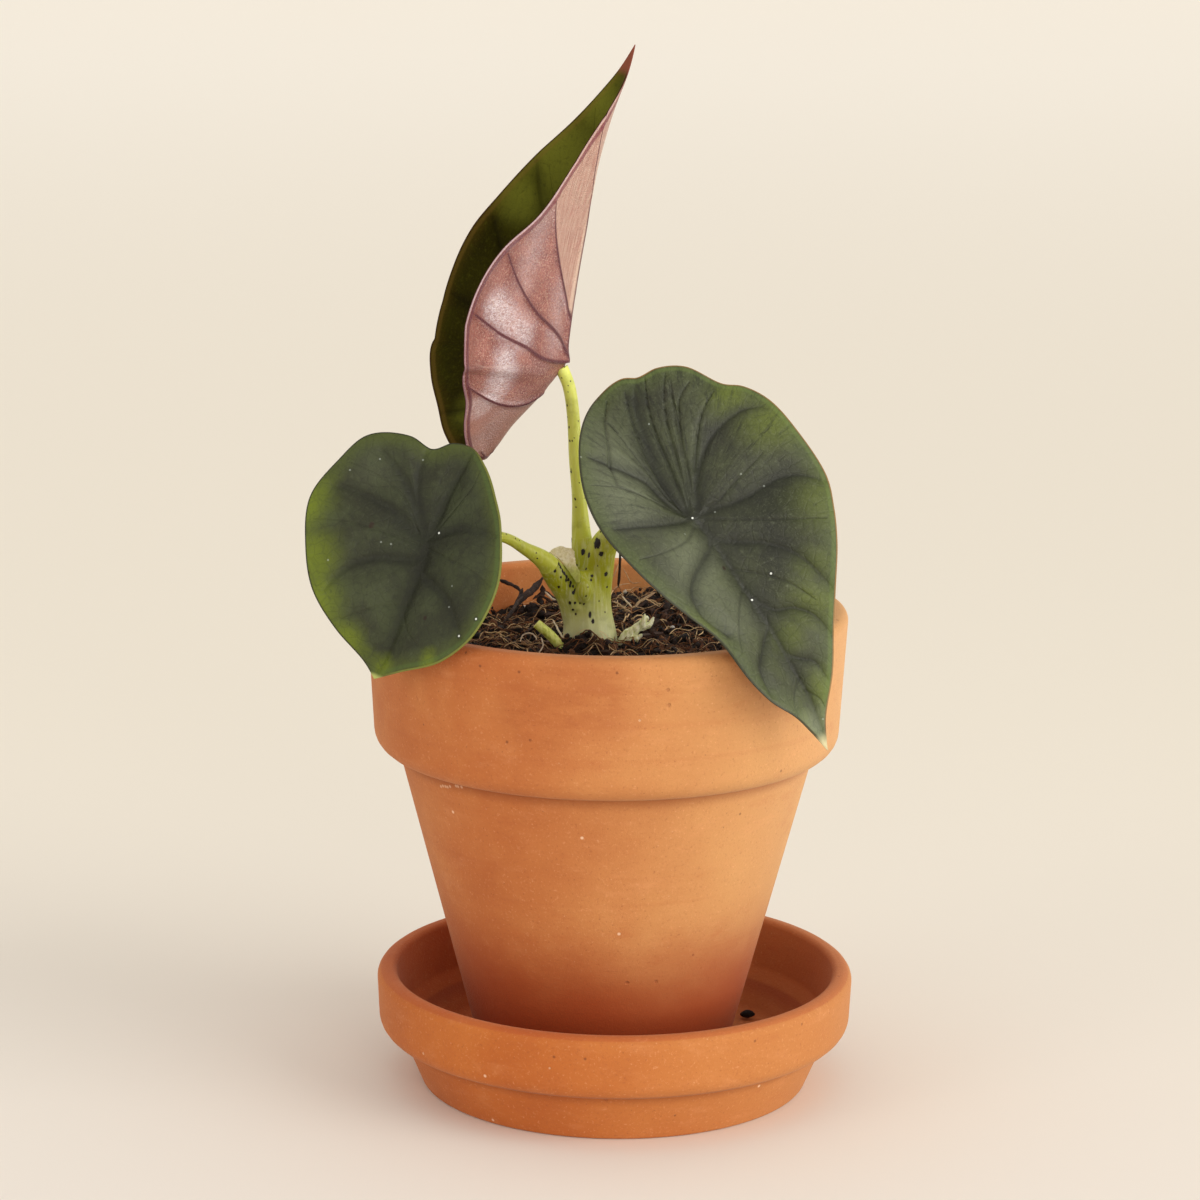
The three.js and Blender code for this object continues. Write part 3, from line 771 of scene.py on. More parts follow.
def makeBlade(name, blade):
    spokes, rings = bladeCommon["spokes"], bladeCommon["rings"]
    margin = smoothPath([(*p, 0) for p in blade["outline"]], spokes + 1)[:-1, :2]
    share = np.concatenate([[0], np.repeat(np.arange(1, rings + 1) / rings, spokes)])
    turn = np.concatenate([[0], np.tile(np.arange(spokes) / spokes, rings)])
    flat = np.concatenate([[(0, 0)], np.tile(margin, (rings, 1))]) * share[:, None]
    x, y = flat[:, 0], flat[:, 1]
    mainWay, mainAway = toPaths(flat, blade["mainVeins"])
    fineWay, fineAway = toPaths(flat, blade["fineVeins"] + blade["pleats"])
    pleatAway = toPaths(flat, blade["pleats"])[1]
    inside = toMargin(flat, margin)
    common = bladeCommon
    wave = common["marginWave"] * share ** 4 * np.sin(2 * np.pi * common["waves"] * turn)
    swell = blade["swell"] * (1 - np.exp(-(mainAway / common["swellWidth"]) ** 2)) * (1 - share ** 6)
    groove = blade["groove"] * np.exp(-(mainAway / common["grooveWidth"]) ** 2) * (1 - 0.6 * share)
    groove += common["fineGroove"] * blade["groove"] * np.exp(-(fineAway / common["grooveWidth"]) ** 2)
    groove += common["pleatDepth"] * np.exp(-(pleatAway / common["pleatWidth"]) ** 2) * np.clip(share * 3, 0, 1)
    groove *= np.clip(np.hypot(x, y) / common["grooveStart"], 0, 1)
    rib = common["ribHeight"] * np.exp(-(mainAway / common["ribWidth"]) ** 2) * (1 - 0.7 * share)
    keel = np.where(x >= 0, (1 - share ** 2) * np.exp(-(y / common["keelWidth"]) ** 2), 0) * common["keelHeight"]
    keel += common["hubHeight"] * np.exp(-(x * x + y * y) / common["hubWidth"] ** 2)
    edge = np.clip(inside / common["edgeWidth"], 0, 1) ** 0.5
    half = common["thickness"] / 2 * (common["edgeShare"] + (1 - common["edgeShare"]) * edge)
    base = bladePlaces(blade, x, y)
    normals = bladeNormals(blade, x, y)
    top = base + normals * (wave + swell - groove + half)[:, None]
    under = base + normals * (wave + swell - groove * 0.6 - half - rib - keel)[:, None]
    count = len(flat)

    def spot(ring, spoke):
        return np.where(ring == 0, 0, 1 + (ring - 1) * spokes + spoke % spokes)

    spoke = np.arange(spokes)
    fans = np.stack([np.zeros(spokes, int), spot(1, spoke), spot(1, spoke + 1)], axis=1)
    ring, column = (grid.ravel() for grid in np.meshgrid(np.arange(1, rings), spoke, indexing="ij"))
    quads = np.stack([
        spot(ring, column), spot(ring + 1, column), spot(ring + 1, column + 1), spot(ring, column + 1),
    ], axis=1)
    edgeA, edgeB = spot(rings, spoke), spot(rings, spoke + 1)
    rim = np.stack([edgeA, edgeA + count, edgeB + count, edgeB], axis=1)
    faces = [*fans, *quads, *(fans[:, ::-1] + count), *(quads[:, ::-1] + count), *rim]
    piece = meshPiece(name, np.concatenate([top, under]) * mm, faces)
    upper = len(fans) + len(quads)
    slots = np.array([0] * upper + [1] * upper + [0] * len(rim))
    piece.data.materials.append(None)
    piece.data.materials.append(None)
    piece.data.polygons.foreach_set("material_index", slots)
    for label, values, kind in (
        ("flatPlace", np.column_stack([flat, share]), "FLOAT_VECTOR"),
        ("mainVein", np.column_stack([mainWay, mainAway]), "FLOAT_VECTOR"),
        ("fineVein", np.column_stack([fineWay, fineAway]), "FLOAT_VECTOR"),
        ("inside", inside, "FLOAT"),
    ):
        setValues(piece, label, np.concatenate([values, values]), kind)
    smoothShade(piece, angle=50)
    return piece


def veinMask(finish, name, inner, outer):
    # 1 on a vein, 0 beside it. The way to the vein keeps the line crisp on a coarse mesh
    x, y, away = finish.parts(finish.attribute(name, "Vector"))
    length = (x * x + y * y) ** 0.5
    return length.atLeast(away - 0.9).between(outer, inner)


def blot(finish, flat, x, y, reach, ragged):
    # 1 at a place on the flat blade and 0 from its reach outwards, with a ragged edge
    return (finish.distance(flat, (x, y, 0)) + ragged).between(reach, 0.0)


def greenTop(name, look, piece):
    leaf = Finish(name)
    flatX, flatY, share = leaf.parts(leaf.attribute("flatPlace", "Vector"))
    inside = leaf.attribute("inside")
    cores = veinMask(leaf, "mainVein", *look["core"])
    bands = veinMask(leaf, "mainVein", 0.4, look["bandWidth"])
    fines = veinMask(leaf, "fineVein", 0.1, 1.0)
    flat = leaf.vector(flatX, flatY)
    clouds = leaf.noise(flat, 0.09, 4, 0.6)
    mottle = leaf.noise(flat, 0.7, 5, 0.7)
    grain = leaf.noise(flat, 1.9, 4, 0.85)
    # darker tissue, greener towards the margin and in a few patches
    patches = None
    for x, y, radius in look["patches"]:
        patch = blot(leaf, flat, x, y, radius * 1.35, (clouds - 0.5) * 8)
        patches = patch if patches is None else patches.atLeast(patch)
    margin = (inside + (clouds - 0.5) * 5).between(look["greenReach"], 0.3)
    leaf.colour = leaf.mix(clouds.between(0.36, 0.64), look["dark"], look["middle"])
    leaf.tint(margin * look["margin"], look["green"])
    leaf.tint(patches * look["patchShare"], look["bright"])
    # broad painted sheens where the blade is lighter, and broad places where it is darker
    for tone, key in (("pale", "paintedSheens"), ("vein", "dims")):
        for x, y, radius, most in look[key]:
            leaf.tint(blot(leaf, flat, x, y, radius * 1.3, (clouds - 0.5) * 6) * most, look[tone])
    leaf.tints(
        (mottle, 0.52, 0.75, 0.3, look["pale"]), (mottle, 0.48, 0.28, 0.35, look["vein"]),
        (grain, 0.54, 0.68, 0.3, look["pale"]), (grain, 0.46, 0.32, 0.3, look["vein"]),
    )
    # fine streaks that fan out from the junction, strongest towards the notch
    angle = leaf.node("Math", {"operation": "ARCTAN2"}, {0: flatY, 1: flatX * -1})
    radius = (flatX * flatX + flatY * flatY) ** 0.5
    streaks = leaf.noise(leaf.vector(angle * 9, radius * 0.05), 1.6, 5, 0.75)
    back = flatX.between(3, -7) * radius.between(2, 8)
    leaf.tint(streaks.between(0.5, 0.34) * back * look["streaks"], look["vein"])
    leaf.tint(streaks.between(0.56, 0.75) * back * look["streaks"] * 0.6, look["pale"])
    # netted veinlets, then the veins in soft dark bands
    net = leaf.cells(flat, 0.42, "DISTANCE_TO_EDGE")
    leaf.tint(net.between(0.09, 0.0) * look["net"], look["vein"])
    leaf.tint(bands * share.between(1.02, look["fadeFrom"]) * look["bands"], look["vein"])
    leaf.tint(fines * look["fines"], look["vein"])
    leaf.tint(cores * share.between(1.05, look["fadeFrom"]) * look["cores"], look["vein"])
    # a lighter green seam inside the margin on one side, and the thin line of the margin itself
    seamSide = flatY.between(-4, 8)
    seam = inside.between(1.7, 1.1) * inside.between(0.35, 0.7) * seamSide
    leaf.tint(seam * 0.3, look["seam"])
    line = inside.between(0.42, 0.18)
    leaf.tint(line * 0.9, leaf.mix(seamSide, look["shadeRim"], look["rim"]))
    tip = flatX.between(look["tip"] - look["tipLength"], look["tip"] - look["tipLength"] * 0.3)
    leaf.tint(tip * 0.85, look["tipColour"])
    # grit, as it lies on this blade, in the dark stains round it
    for key, radius, most, tone in (
        ("grit", 0.85, 0.5, rgb(20, 20, 16)), ("brown", 0.7, 0.8, rgb(44, 26, 16)),
        ("dust", 0.3, 0.3, rgb(206, 214, 204)),
    ):
        leaf.tint(leaf.spots(castOn(piece, look[key]), radius * mm) * most, tone)
    leaf.tint(leaf.spots(castOn(piece, look["grit"]), 0.33 * mm), rgb(236, 240, 232))
    relief = mottle * 0.45 + grain * 0.22 + net.between(0.0, 0.12) * 0.2 - fines * 0.4 - cores * 0.4
    normal = leaf.bump(relief + streaks * back * look["streaks"] * 1.8, 0.0003, 0.7)
    return leaf.surface(mottle.between(0.3, 0.7) * 0.14 + look["rough"], normal, look["gloss"])


def plumUnder(name, look):
    leaf = Finish(name)
    flatX, flatY = leaf.parts(leaf.attribute("flatPlace", "Vector"))[:2]
    inside = leaf.attribute("inside")
    flat = leaf.vector(flatX, flatY)
    mains = veinMask(leaf, "mainVein", 0.16, 0.62)
    bands = veinMask(leaf, "mainVein", 0.3, 2.4)
    fines = veinMask(leaf, "fineVein", 0.1, 1.1)
    clouds = leaf.noise(flat, 0.13, 4, 0.6)
    mottle = leaf.noise(flat, 1.3, 5, 0.75)
    sparkle = leaf.noise(flat, 1.9, 4, 0.85)
    crepe = leaf.cells(flat, 1.9, "DISTANCE_TO_EDGE")
    leaf.colour = leaf.mix(clouds.between(0.38, 0.62), look["plum"], look["rose"])
    # the last layer is painted light: paler towards the back end of the blade
    leaf.tints(
        (mottle, 0.52, 0.74, 0.4, look["pale"]), (mottle, 0.48, 0.3, 0.55, look["vein"]),
        (sparkle, 0.53, 0.62, 0.75, look["cream"]), (sparkle, 0.47, 0.38, 0.65, look["edge"]),
        (crepe, 0.12, 0.0, 0.18, look["vein"]), (flatX, -9, -15, 0.5, look["pale"]),
    )
    # browner inside the margin
    brown = (inside + (clouds - 0.5) * 6).between(7, 2.5)
    brown = brown * flatX.between(32, 24) * flatX.between(-12, -6)
    leaf.tint(brown * 0.4, look["tan"])
    # painted highlights between some of the veins, broken up by the grain
    paintedHighlights = None
    crackle = leaf.noise(leaf.stretch(flat, (1, 0.45, 1)), 2.2, 4, 0.8, 1.5)
    for (startX, startY), (endX, endY), radius, most in look["paintedHighlights"]:
        runX, runY = endX - startX, endY - startY
        along = ((flatX - startX) * runX + (flatY - startY) * runY) / (runX ** 2 + runY ** 2)
        along = along.atLeast(0.0).atMost(1.0)
        offX, offY = flatX - startX - along * runX, flatY - startY - along * runY
        away = (offX * offX + offY * offY) ** 0.5
        paintedHighlight = (away + (mottle - 0.5) * 4 + (clouds - 0.5) * 4).between(radius * 1.4, 0.0) * most
        paintedHighlights = paintedHighlight if paintedHighlights is None else paintedHighlights.atLeast(paintedHighlight)
    paintedHighlights = paintedHighlights * (1 - mains)
    broken = crackle.between(0.42, 0.6)
    leaf.tint(paintedHighlights * (broken * 0.65 + 0.2), look["paintedHighlight"])
    # paler towards the tip, and palest in the strip between the first side vein and the midrib
    threads = leaf.noise(leaf.vector(flatX * 0.12, flatY * 1.6), 1.4, 4, 0.7)
    pale = leaf.mix(threads.between(0.4, 0.65), look["pale"], look["cream"])
    strip = (flatY * -1 - (flatX - 9.3) * 0.7).between(0.5, -0.8) * flatY.between(1.0, 0.0)
    leaf.tint(flatX.between(26, 44) * 0.6, pale)
    leaf.tint(strip * flatX.between(4, 16) * 0.85, pale)
    leaf.tint(strip * threads.between(0.46, 0.32) * 0.4, look["plum"])
    leaf.tint(strip * flatY.between(-1.5, -0.9) * 0.6, look["keel"])
    leaf.tint(fines * 0.2, look["cream"])
    leaf.tint(bands * 0.22 * (1 - strip), look["vein"])
    leaf.tint(mains * 0.9, look["vein"])
    # a purple vein runs just inside the thin pale margin
    wide = flatX.between(10, 40) * 0.5 + 1.15
    beside = inside.between(wide + 0.5, wide) * inside.between(0.5, 0.75)
    leaf.tint(beside * 0.85, leaf.mix(flatX.between(20, 40), look["edge"], look["farEdge"]))
    # the thin pale margin: its own colour, with a painted highlight that makes its middle run whiter
    rim = leaf.mix(flatX.between(34, 50), look["rim"], look["farRim"])
    rim = leaf.mix(flatX.between(14, 2), rim, look["nearRim"])
    leaf.tint(inside.between(0.5, 0.34) * 0.75, rim)
    leaf.tint(inside.between(0.14, 0.06) * 0.6, look["edge"])
    # darker and redder at the back corner
    leaf.tint((flatX + (clouds - 0.5) * 8).between(-26, -33) * 0.7, look["plum"])
    leaf.tint(flatX.between(60, 64) * 0.85, look["tip"])
    specks = leaf.cells(flat, 0.21).between(0.05, 0.03)
    leaf.tint(specks * 0.7, look["tip"])
    relief = crepe.between(0.0, 0.25) * 0.4 + mottle * 0.7 + sparkle * 0.4 + fines * 0.2 + beside * 0.6
    normal = leaf.bump(relief, 0.0004, 0.8)
    return leaf.surface(mottle.between(0.3, 0.7) * 0.12 + 0.28, normal, 0.35, **{
        "Coat Weight": paintedHighlights * 0.4 + (1 - mains) * 0.12, "Coat Roughness": 0.24,
    })


topLooks = {
    "left": {
        "dark": rgb(44, 46, 26), "middle": rgb(60, 66, 38), "green": rgb(82, 92, 32), "bright": rgb(124, 140, 4),
        "pale": rgb(84, 88, 66), "vein": rgb(22, 22, 14), "rim": rgb(122, 126, 54), "shadeRim": rgb(36, 34, 18),
        "patchShare": 0.52, "fadeFrom": 0.45, "net": 0.14,
        "seam": rgb(84, 110, 50), "greenReach": 5.0, "margin": 0.6, "streaks": 0.15,
        "core": (0.4, 2.0), "cores": 0.38, "bandWidth": 5.0, "bands": 0.36, "fines": 0.1, "tip": 31.6,
        "tipLength": 1.6, "tipColour": rgb(190, 196, 110),
        "rough": 0.48, "gloss": 0.3,
        "patches": [(12.4, -22.6, 8), (19.3, -17.5, 7), (2, -28, 7), (26.2, -9.6, 5.5), (28.5, 2, 3), (23.6, 14, 3)],
        "paintedSheens": [(-11, -18, 6, 0.35), (14, 6, 6, 0.15)], "dims": [(1, -5.4, 12, 0.4)],
        "grit": [(439, 533), (459, 636), (476, 619)],
        "dust": [(452, 586), (381, 542), (328, 560), (380, 459), (423, 460), (449, 607), (391, 544), (350, 470)],
        "brown": [(372, 524), (371, 526), (425, 618), (308, 573)],
    },
    "right": {
        "dark": rgb(52, 54, 38), "middle": rgb(70, 75, 48), "green": rgb(80, 92, 42), "bright": rgb(114, 128, 30),
        "pale": rgb(120, 126, 100), "vein": rgb(24, 25, 18), "rim": rgb(142, 106, 54), "shadeRim": rgb(46, 46, 28),
        "patchShare": 0.42, "fadeFrom": 0.8, "net": 0.14,
        "seam": rgb(108, 128, 60), "greenReach": 6.0, "margin": 0.55, "streaks": 0.58,
        "core": (0.12, 0.9), "cores": 0.46, "bandWidth": 4.4, "bands": 0.5, "fines": 0.32, "tip": 59,
        "tipLength": 4.6, "tipColour": rgb(216, 206, 160),
        "rough": 0.42, "gloss": 0.35,
        "patches": [(-8.5, 26.4, 8), (-18.3, 22.7, 6), (10.7, 22.5, 8), (28.4, 10.8, 7), (46.5, 4.3, 6),
                    (24.5, -20, 6), (22, 16, 5), (33, 3, 5), (52, 0.5, 4.5)],
        "paintedSheens": [(-20, -8, 13, 0.4), (-10, -16, 11, 0.5), (10, -9, 12, 0.6), (24, -6, 9, 0.35), (53, 0.3, 5, 0.8)],
        "dims": [(9, 15, 12, 0.75), (3.4, 20.7, 6, 0.45), (22, 7, 8, 0.45)],
        "grit": [(692.5, 518), (771, 573.5), (752, 600)],
        "dust": [(685, 534), (715, 512), (741, 474), (649, 424), (581, 457), (823, 719), (764, 486)],
        "brown": [(724, 568)],
    },
    "rear": {
        "dark": rgb(36, 31, 0), "middle": rgb(46, 43, 0), "green": rgb(80, 64, 10), "bright": rgb(112, 114, 36),
        "patchShare": 0.8, "fadeFrom": 0.9, "net": 0.04,
        "pale": rgb(92, 94, 30), "vein": rgb(22, 18, 2), "rim": rgb(60, 30, 16), "shadeRim": rgb(52, 26, 12),
        "seam": rgb(120, 92, 40), "greenReach": 4.0, "margin": 0.45, "streaks": 0.1,
        "core": (0.3, 1.4), "cores": 0.25, "bandWidth": 5.0, "bands": 0.32, "fines": 0.15, "tip": 69,
        "tipLength": 4, "tipColour": rgb(138, 76, 60),
        "rough": 0.6, "gloss": 0.04,
        "patches": [(44, 9, 14), (58, 3, 10), (34, 16, 8), (-18, 12, 6)],
        "paintedSheens": [], "dims": [], "grit": [], "dust": [], "brown": [],
    },
}

underLook = {
    "plum": rgb(140, 76, 66), "rose": rgb(172, 108, 94), "pale": rgb(188, 138, 122), "vein": rgb(84, 22, 38),
    "cream": rgb(210, 178, 158), "edge": rgb(104, 44, 56), "rim": rgb(210, 184, 190), "tip": rgb(140, 74, 62),
    "paintedHighlight": rgb(246, 236, 242), "farRim": rgb(206, 172, 166), "nearRim": rgb(168, 128, 138),
    "keel": rgb(226, 200, 178), "tan": rgb(118, 58, 46), "farEdge": rgb(128, 50, 62),
    # painted highlight strokes from one flat place to another, with their radius and strength
    "paintedHighlights": [
        ((12.2, -27), (6.4, -17), 4.2, 0.85), ((0.5, -21.5), (-10.5, -17.6), 4.4, 0.8),
        ((-12.6, -20.6), (-14.8, -17.2), 3, 0.6), ((34, -21), (18, -20), 4.5, 0.3), ((18, -6), (4, -5), 4, 0.3),
        ((-14, -10), (-24, -9), 5, 0.25),
    ],
}

plum = plumUnder("plumUnderside", underLook)
for side, blade in blades.items():
    piece = makeBlade("blade_" + side, blade)
    slots = np.empty(len(piece.data.polygons), int)
    piece.data.polygons.foreach_get("material_index", slots)
    slot = "blade_plum" if side == "rear" else "blade_green"
    keep(piece, [greenTop("greenBlade_" + side, topLooks[side], piece), plum], ["leaf_" + side])
    piece.data.polygons.foreach_set("material_index", slots)
    print("blade", side, "grown:", len(piece.data.polygons), "faces")


# Stalks and trunk

stalks = {
    "left": {
        "path": [
            (-8, 0, 106), (-10.6, -1.4, 114.4), (-14.1, -3.5, 119.7), (-17, -6.4, 123.9), (-21.3, -10.5, 127.5),
            (-25.9, -15, 130.9), (-33, -20, 132.6), (-39.6, -24.4, 132.2), (-43.3, -28.1, 131.7),
        ],
        "radii": [4, 3.5, 2.9, 2.2, 1.45, 1.15, 1.1, 1.15, 1.4],
        "collar": 0.34,           # the trunk's arm reaches this share of the length
        # dark spots as pixels of the picture, with their half height and half width in mm
        "spots": [
            (520, 518, 0.45, 0.35), (536, 531, 0.5, 0.35), (541, 530, 0.35, 0.3), (548, 536, 0.45, 0.35),
            (553, 538, 0.5, 0.4), (530, 526, 0.3, 0.25), (557, 553, 0.3, 0.3),
        ],
    },
    "rear": {
        "path": [
            (-7.2, 0.4, 108), (-8, 1.2, 121), (-8.8, 1.5, 129.7), (-9.3, 1.5, 137), (-10.2, 1.5, 146),
            (-10.8, 1.5, 156), (-11.8, 1.6, 162.4), (-13.2, 1.8, 166), (-14.4, 2, 168.3),
        ],
        "radii": [4, 2.8, 2.15, 1.65, 1.5, 1.45, 1.45, 1.5, 1.6],
        "collar": 0.33,
        "spots": [
            (567, 419, 0.3, 0.22), (569, 427, 0.3, 0.22), (572, 441, 0.25, 0.2), (569, 462, 0.3, 0.2),
            (571, 469, 0.3, 0.2), (571, 472, 0.35, 0.3), (574, 495, 0.3, 0.22), (575, 499, 0.35, 0.28),
            (576, 507, 0.3, 0.25), (568, 434, 0.25, 0.18),
        ],
    },
    "right": {
        "path": [
            (-6.2, 0, 108), (-5.2, -0.4, 119), (-3.6, -1.8, 126.5), (0.5, -6, 132.5), (6, -13.5, 136.6),
            (12, -24.5, 138.8), (16.1, -33.2, 139.5),
        ],
        "radii": [4, 3.7, 3.1, 1.9, 1.4, 1.3, 1.5],
        "collar": 0.42,
        "spots": [],
    },
}

trunkShape = {
    "path": [(-6.4, 0, 86), (-6.4, 0, 96), (-6.5, 0, 104), (-7, 0, 110), (-7.3, 0, 116), (-7, 0, 121)],
    "radii": [5.2, 6, 6.3, 5.6, 5.2, 4.4],
    "budPath": [(-8.4, -3.6, 113.5), (-8, -5.4, 117), (-8.8, -4.4, 121.2)],
    "budRadii": [1, 1.9, 0.5],
    "webPath": [(-9.5, -3.2, 112.5), (-11, -3.4, 116), (-12.4, -3.2, 119.2)],
    "webRadii": [2.2, 2.2, 1.3],
    "voxel": 0.3,
    "smoothing": 3,
    "armExtra": 0.1,          # what smoothing takes off the arms, in mm
    "spots": [
        (597, 543, 1.15, 0.85), (583, 552, 0.65, 0.45), (589, 555, 0.65, 0.4), (601, 554, 0.65, 0.5),
        (577, 531, 0.9, 0.35), (592, 537, 0.5, 0.3), (601, 531, 0.4, 0.25), (606, 574, 0.55, 0.4),
        (607, 587, 0.3, 0.25), (592, 576, 0.35, 0.3), (586, 569, 0.3, 0.25), (598, 566, 0.25, 0.2),
        (570, 603, 0.45, 0.3), (575, 603, 0.35, 0.25), (580, 603, 0.35, 0.25), (584, 604, 0.3, 0.22),
        (573, 610, 0.4, 0.3), (576, 614, 0.4, 0.3), (590, 615, 0.8, 0.3), (593, 621, 0.6, 0.28),
        (559, 587, 0.4, 0.35), (573, 593, 0.4, 0.35), (591, 580, 0.35, 0.25), (561, 577, 0.3, 0.25),
        (555, 571, 0.4, 0.3), (566, 580, 0.4, 0.28), (570, 586, 0.5, 0.28), (564, 573, 0.35, 0.25),
        (544, 566, 0.55, 0.4), (542, 560, 0.4, 0.3), (548, 563, 0.3, 0.25), (599, 601, 0.2, 0.18),
        (586, 596, 0.25, 0.2), (588, 587, 0.2, 0.18), (605, 612, 0.2, 0.18), (577, 565, 0.25, 0.2),
        # the dark broken line along the top of the left arm
        (549, 553.5, 0.55, 0.6), (551.5, 556, 0.6, 0.55), (554, 558.5, 0.6, 0.5), (556.5, 560.5, 0.5, 0.45),
        (558.5, 563.5, 0.5, 0.38), (560.5, 567, 0.5, 0.34), (562.5, 570.5, 0.5, 0.34), (564.5, 573.5, 0.5, 0.32),
        (566.5, 576.5, 0.45, 0.32), (568.5, 579.5, 0.45, 0.3), (570.5, 582.5, 0.45, 0.3), (573, 586.5, 0.45, 0.27),
        (575, 589.5, 0.4, 0.24),
    ],
    "backSpots": 90,
    "backSpotSize": (0.18, 0.6),
    "seed": 11,
}

stalkCommon = {
    "overlap": 0.03,          # a stalk starts this share of its length inside the trunk's arm
    "end": 0.97,
    "specks": 34,
    "speckSize": (0.08, 0.2),
}


def drawTube(name, path, radii, start=0.0, end=1.0, steps=60, sides=6):
    # a bevelled curve with a radius at each point, made a mesh; sides is the curve's own bevel resolution
    fine = 400
    whole = smoothPath([(*p, r) for p, r in zip(path, radii)], fine)
    part = whole[round(start * (fine - 1)):round(end * (fine - 1)) + 1]
    part = part[np.linspace(0, len(part) - 1, steps).round().astype(int)]
    data = bpy.data.curves.new(name, "CURVE")
    data.dimensions = "3D"
    data.bevel_depth = mm
    data.bevel_resolution = sides
    data.use_fill_caps = True
    spline = data.splines.new("POLY")
    spline.points.add(len(part) - 1)
    for point, (x, y, z, radius) in zip(spline.points, part):
        point.co = (x * mm, y * mm, z * mm, 1)
        point.radius = radius
    tube = bpy.data.objects.new(name, data)
    bpy.context.scene.collection.objects.link(tube)
    pick(tube)
    bpy.ops.object.convert(target="MESH")
    tube = bpy.context.object
    tidyMesh(tube)
    return tube


def spotField(piece, spots):
    # the least distance to any spot, in its own radii; each is (place, half height, half width)
    places = placesOf(piece)
    field = np.full(len(places), 9.0)         # far from any spot
    for place, tall, wide in spots:
        away = (places - np.array(place)) / mm
        scaled = np.sqrt((away[:, 0] ** 2 + away[:, 1] ** 2) / wide ** 2 + away[:, 2] ** 2 / tall ** 2)
        field = np.minimum(field, scaled)
    return field


def makeTrunk(shape):
    parts = [
        drawTube("trunkCore", shape["path"], shape["radii"], steps=40),
        drawTube("trunkBud", shape["budPath"], shape["budRadii"], steps=24),
        drawTube("trunkWeb", shape["webPath"], shape["webRadii"], steps=24),
    ]
    for name, stalk in stalks.items():
        radii = [radius + shape["armExtra"] for radius in stalk["radii"]]
        parts.append(drawTube("arm" + name, stalk["path"], radii, end=stalk["collar"], steps=40))
    trunk = joinPieces(parts, "trunk")
    applyModifier(trunk, "REMESH", mode="VOXEL", voxel_size=shape["voxel"] * mm)
    applyModifier(trunk, "SMOOTH", factor=0.5, iterations=shape["smoothing"])
    smoothShade(trunk)
    rand = random.Random(shape["seed"])
    spots = castOn(trunk, shape["spots"])
    places = placesOf(trunk)
    behind = places[(places[:, 1] > 0.001) & (places[:, 2] > 0.106)]
    for _ in range(shape["backSpots"]):
        size = rand.uniform(*shape["backSpotSize"])
        spots.append((behind[rand.randrange(len(behind))], size * rand.uniform(1, 1.5), size))
    setValues(trunk, "spotField", spotField(trunk, spots))
    return trunk


def makeStalk(name, stalk, seed):
    start, end = stalk["collar"] - stalkCommon["overlap"], stalkCommon["end"]
    piece = drawTube("stalk_" + name, stalk["path"], stalk["radii"], start, end, steps=120, sides=9)
    smoothShade(piece)
    rand = random.Random(seed)
    places = placesOf(piece)
    spots = []
    for _ in range(stalkCommon["specks"]):
        size = rand.uniform(*stalkCommon["speckSize"])
        spots.append((places[rand.randrange(len(places))], size * rand.uniform(1, 1.8), size))
    spots += castOn(piece, stalk["spots"])
    setValues(piece, "spotField", spotField(piece, spots))
    return piece


def stemSkin(name, look):
    skin = Finish(name)
    here = skin.objectPlace()
    height = skin.parts(here)[2]
    fibres = skin.noise(skin.stretch(here, (1, 1, 0.12)), 1400, 3, 0.6)
    clouds = skin.noise(here, 240, 4, 0.6)
    fine = skin.noise(here, 2600, 2, 0.6)
    skin.colour = skin.mix((height + clouds * 0.006).between(*look["fade"]), look["foot"], look["top"])
    skin.tint(height.between(*look["rise"]), look["arm"])
    skin.tint(fibres.between(0.45, 0.7) * 0.3, look["pale"])
    skin.tint(clouds.between(0.5, 0.3) * 0.35, look["shade"])
    skin.tint(fine.between(0.6, 0.75) * 0.15, look["pale"])
    ragged = skin.noise(here, 1000, 3, 0.6)
    field = skin.attribute("spotField") + (ragged - 0.5) * 1.5 + (fine - 0.5) * 0.5
    ring = field.between(1.7, 1.1) * 0.3
    spot = field.between(1.15, 0.95)
    skin.tint(ring, look["shade"])
    skin.tint(spot, rgb(24, 14, 18))
    normal = skin.bump(fibres * 0.5 + fine * 0.2 - spot * 0.3, 0.0002, 0.5)
    return skin.surface(spot * 0.15 + 0.42, normal, 0.45, **{
        "Subsurface Weight": 0.15, "Subsurface Radius": (0.9, 1.0, 0.3), "Subsurface Scale": 0.0012,
    })


stemLooks = {
    "trunk": {
        "foot": rgb(228, 232, 184), "top": rgb(172, 177, 28), "pale": rgb(238, 242, 200),
        "shade": rgb(120, 126, 30), "fade": (0.105, 0.121), "arm": rgb(208, 216, 76), "rise": (0.122, 0.130),
    },
    "stalk": {
        "foot": rgb(208, 216, 76), "top": rgb(220, 228, 100), "pale": rgb(236, 240, 158),
        "shade": rgb(150, 156, 40), "fade": (0.130, 0.150), "arm": rgb(224, 230, 108), "rise": (0.150, 0.165),
    },
}

trunk = makeTrunk(trunkShape)
keep(trunk, [stemSkin("trunkSkin", stemLooks["trunk"])], ["stem_base"])
stalkSkin = stemSkin("stalkSkin", stemLooks["stalk"])
for seed, (name, stalk) in enumerate(stalks.items()):
    keep(makeStalk(name, stalk, seed), [stalkSkin], ["petiole_" + name])
print("trunk and stalks grown:", len(trunk.data.polygons), "faces in the trunk")


# The dry sheath, the cut stub, the side shoot

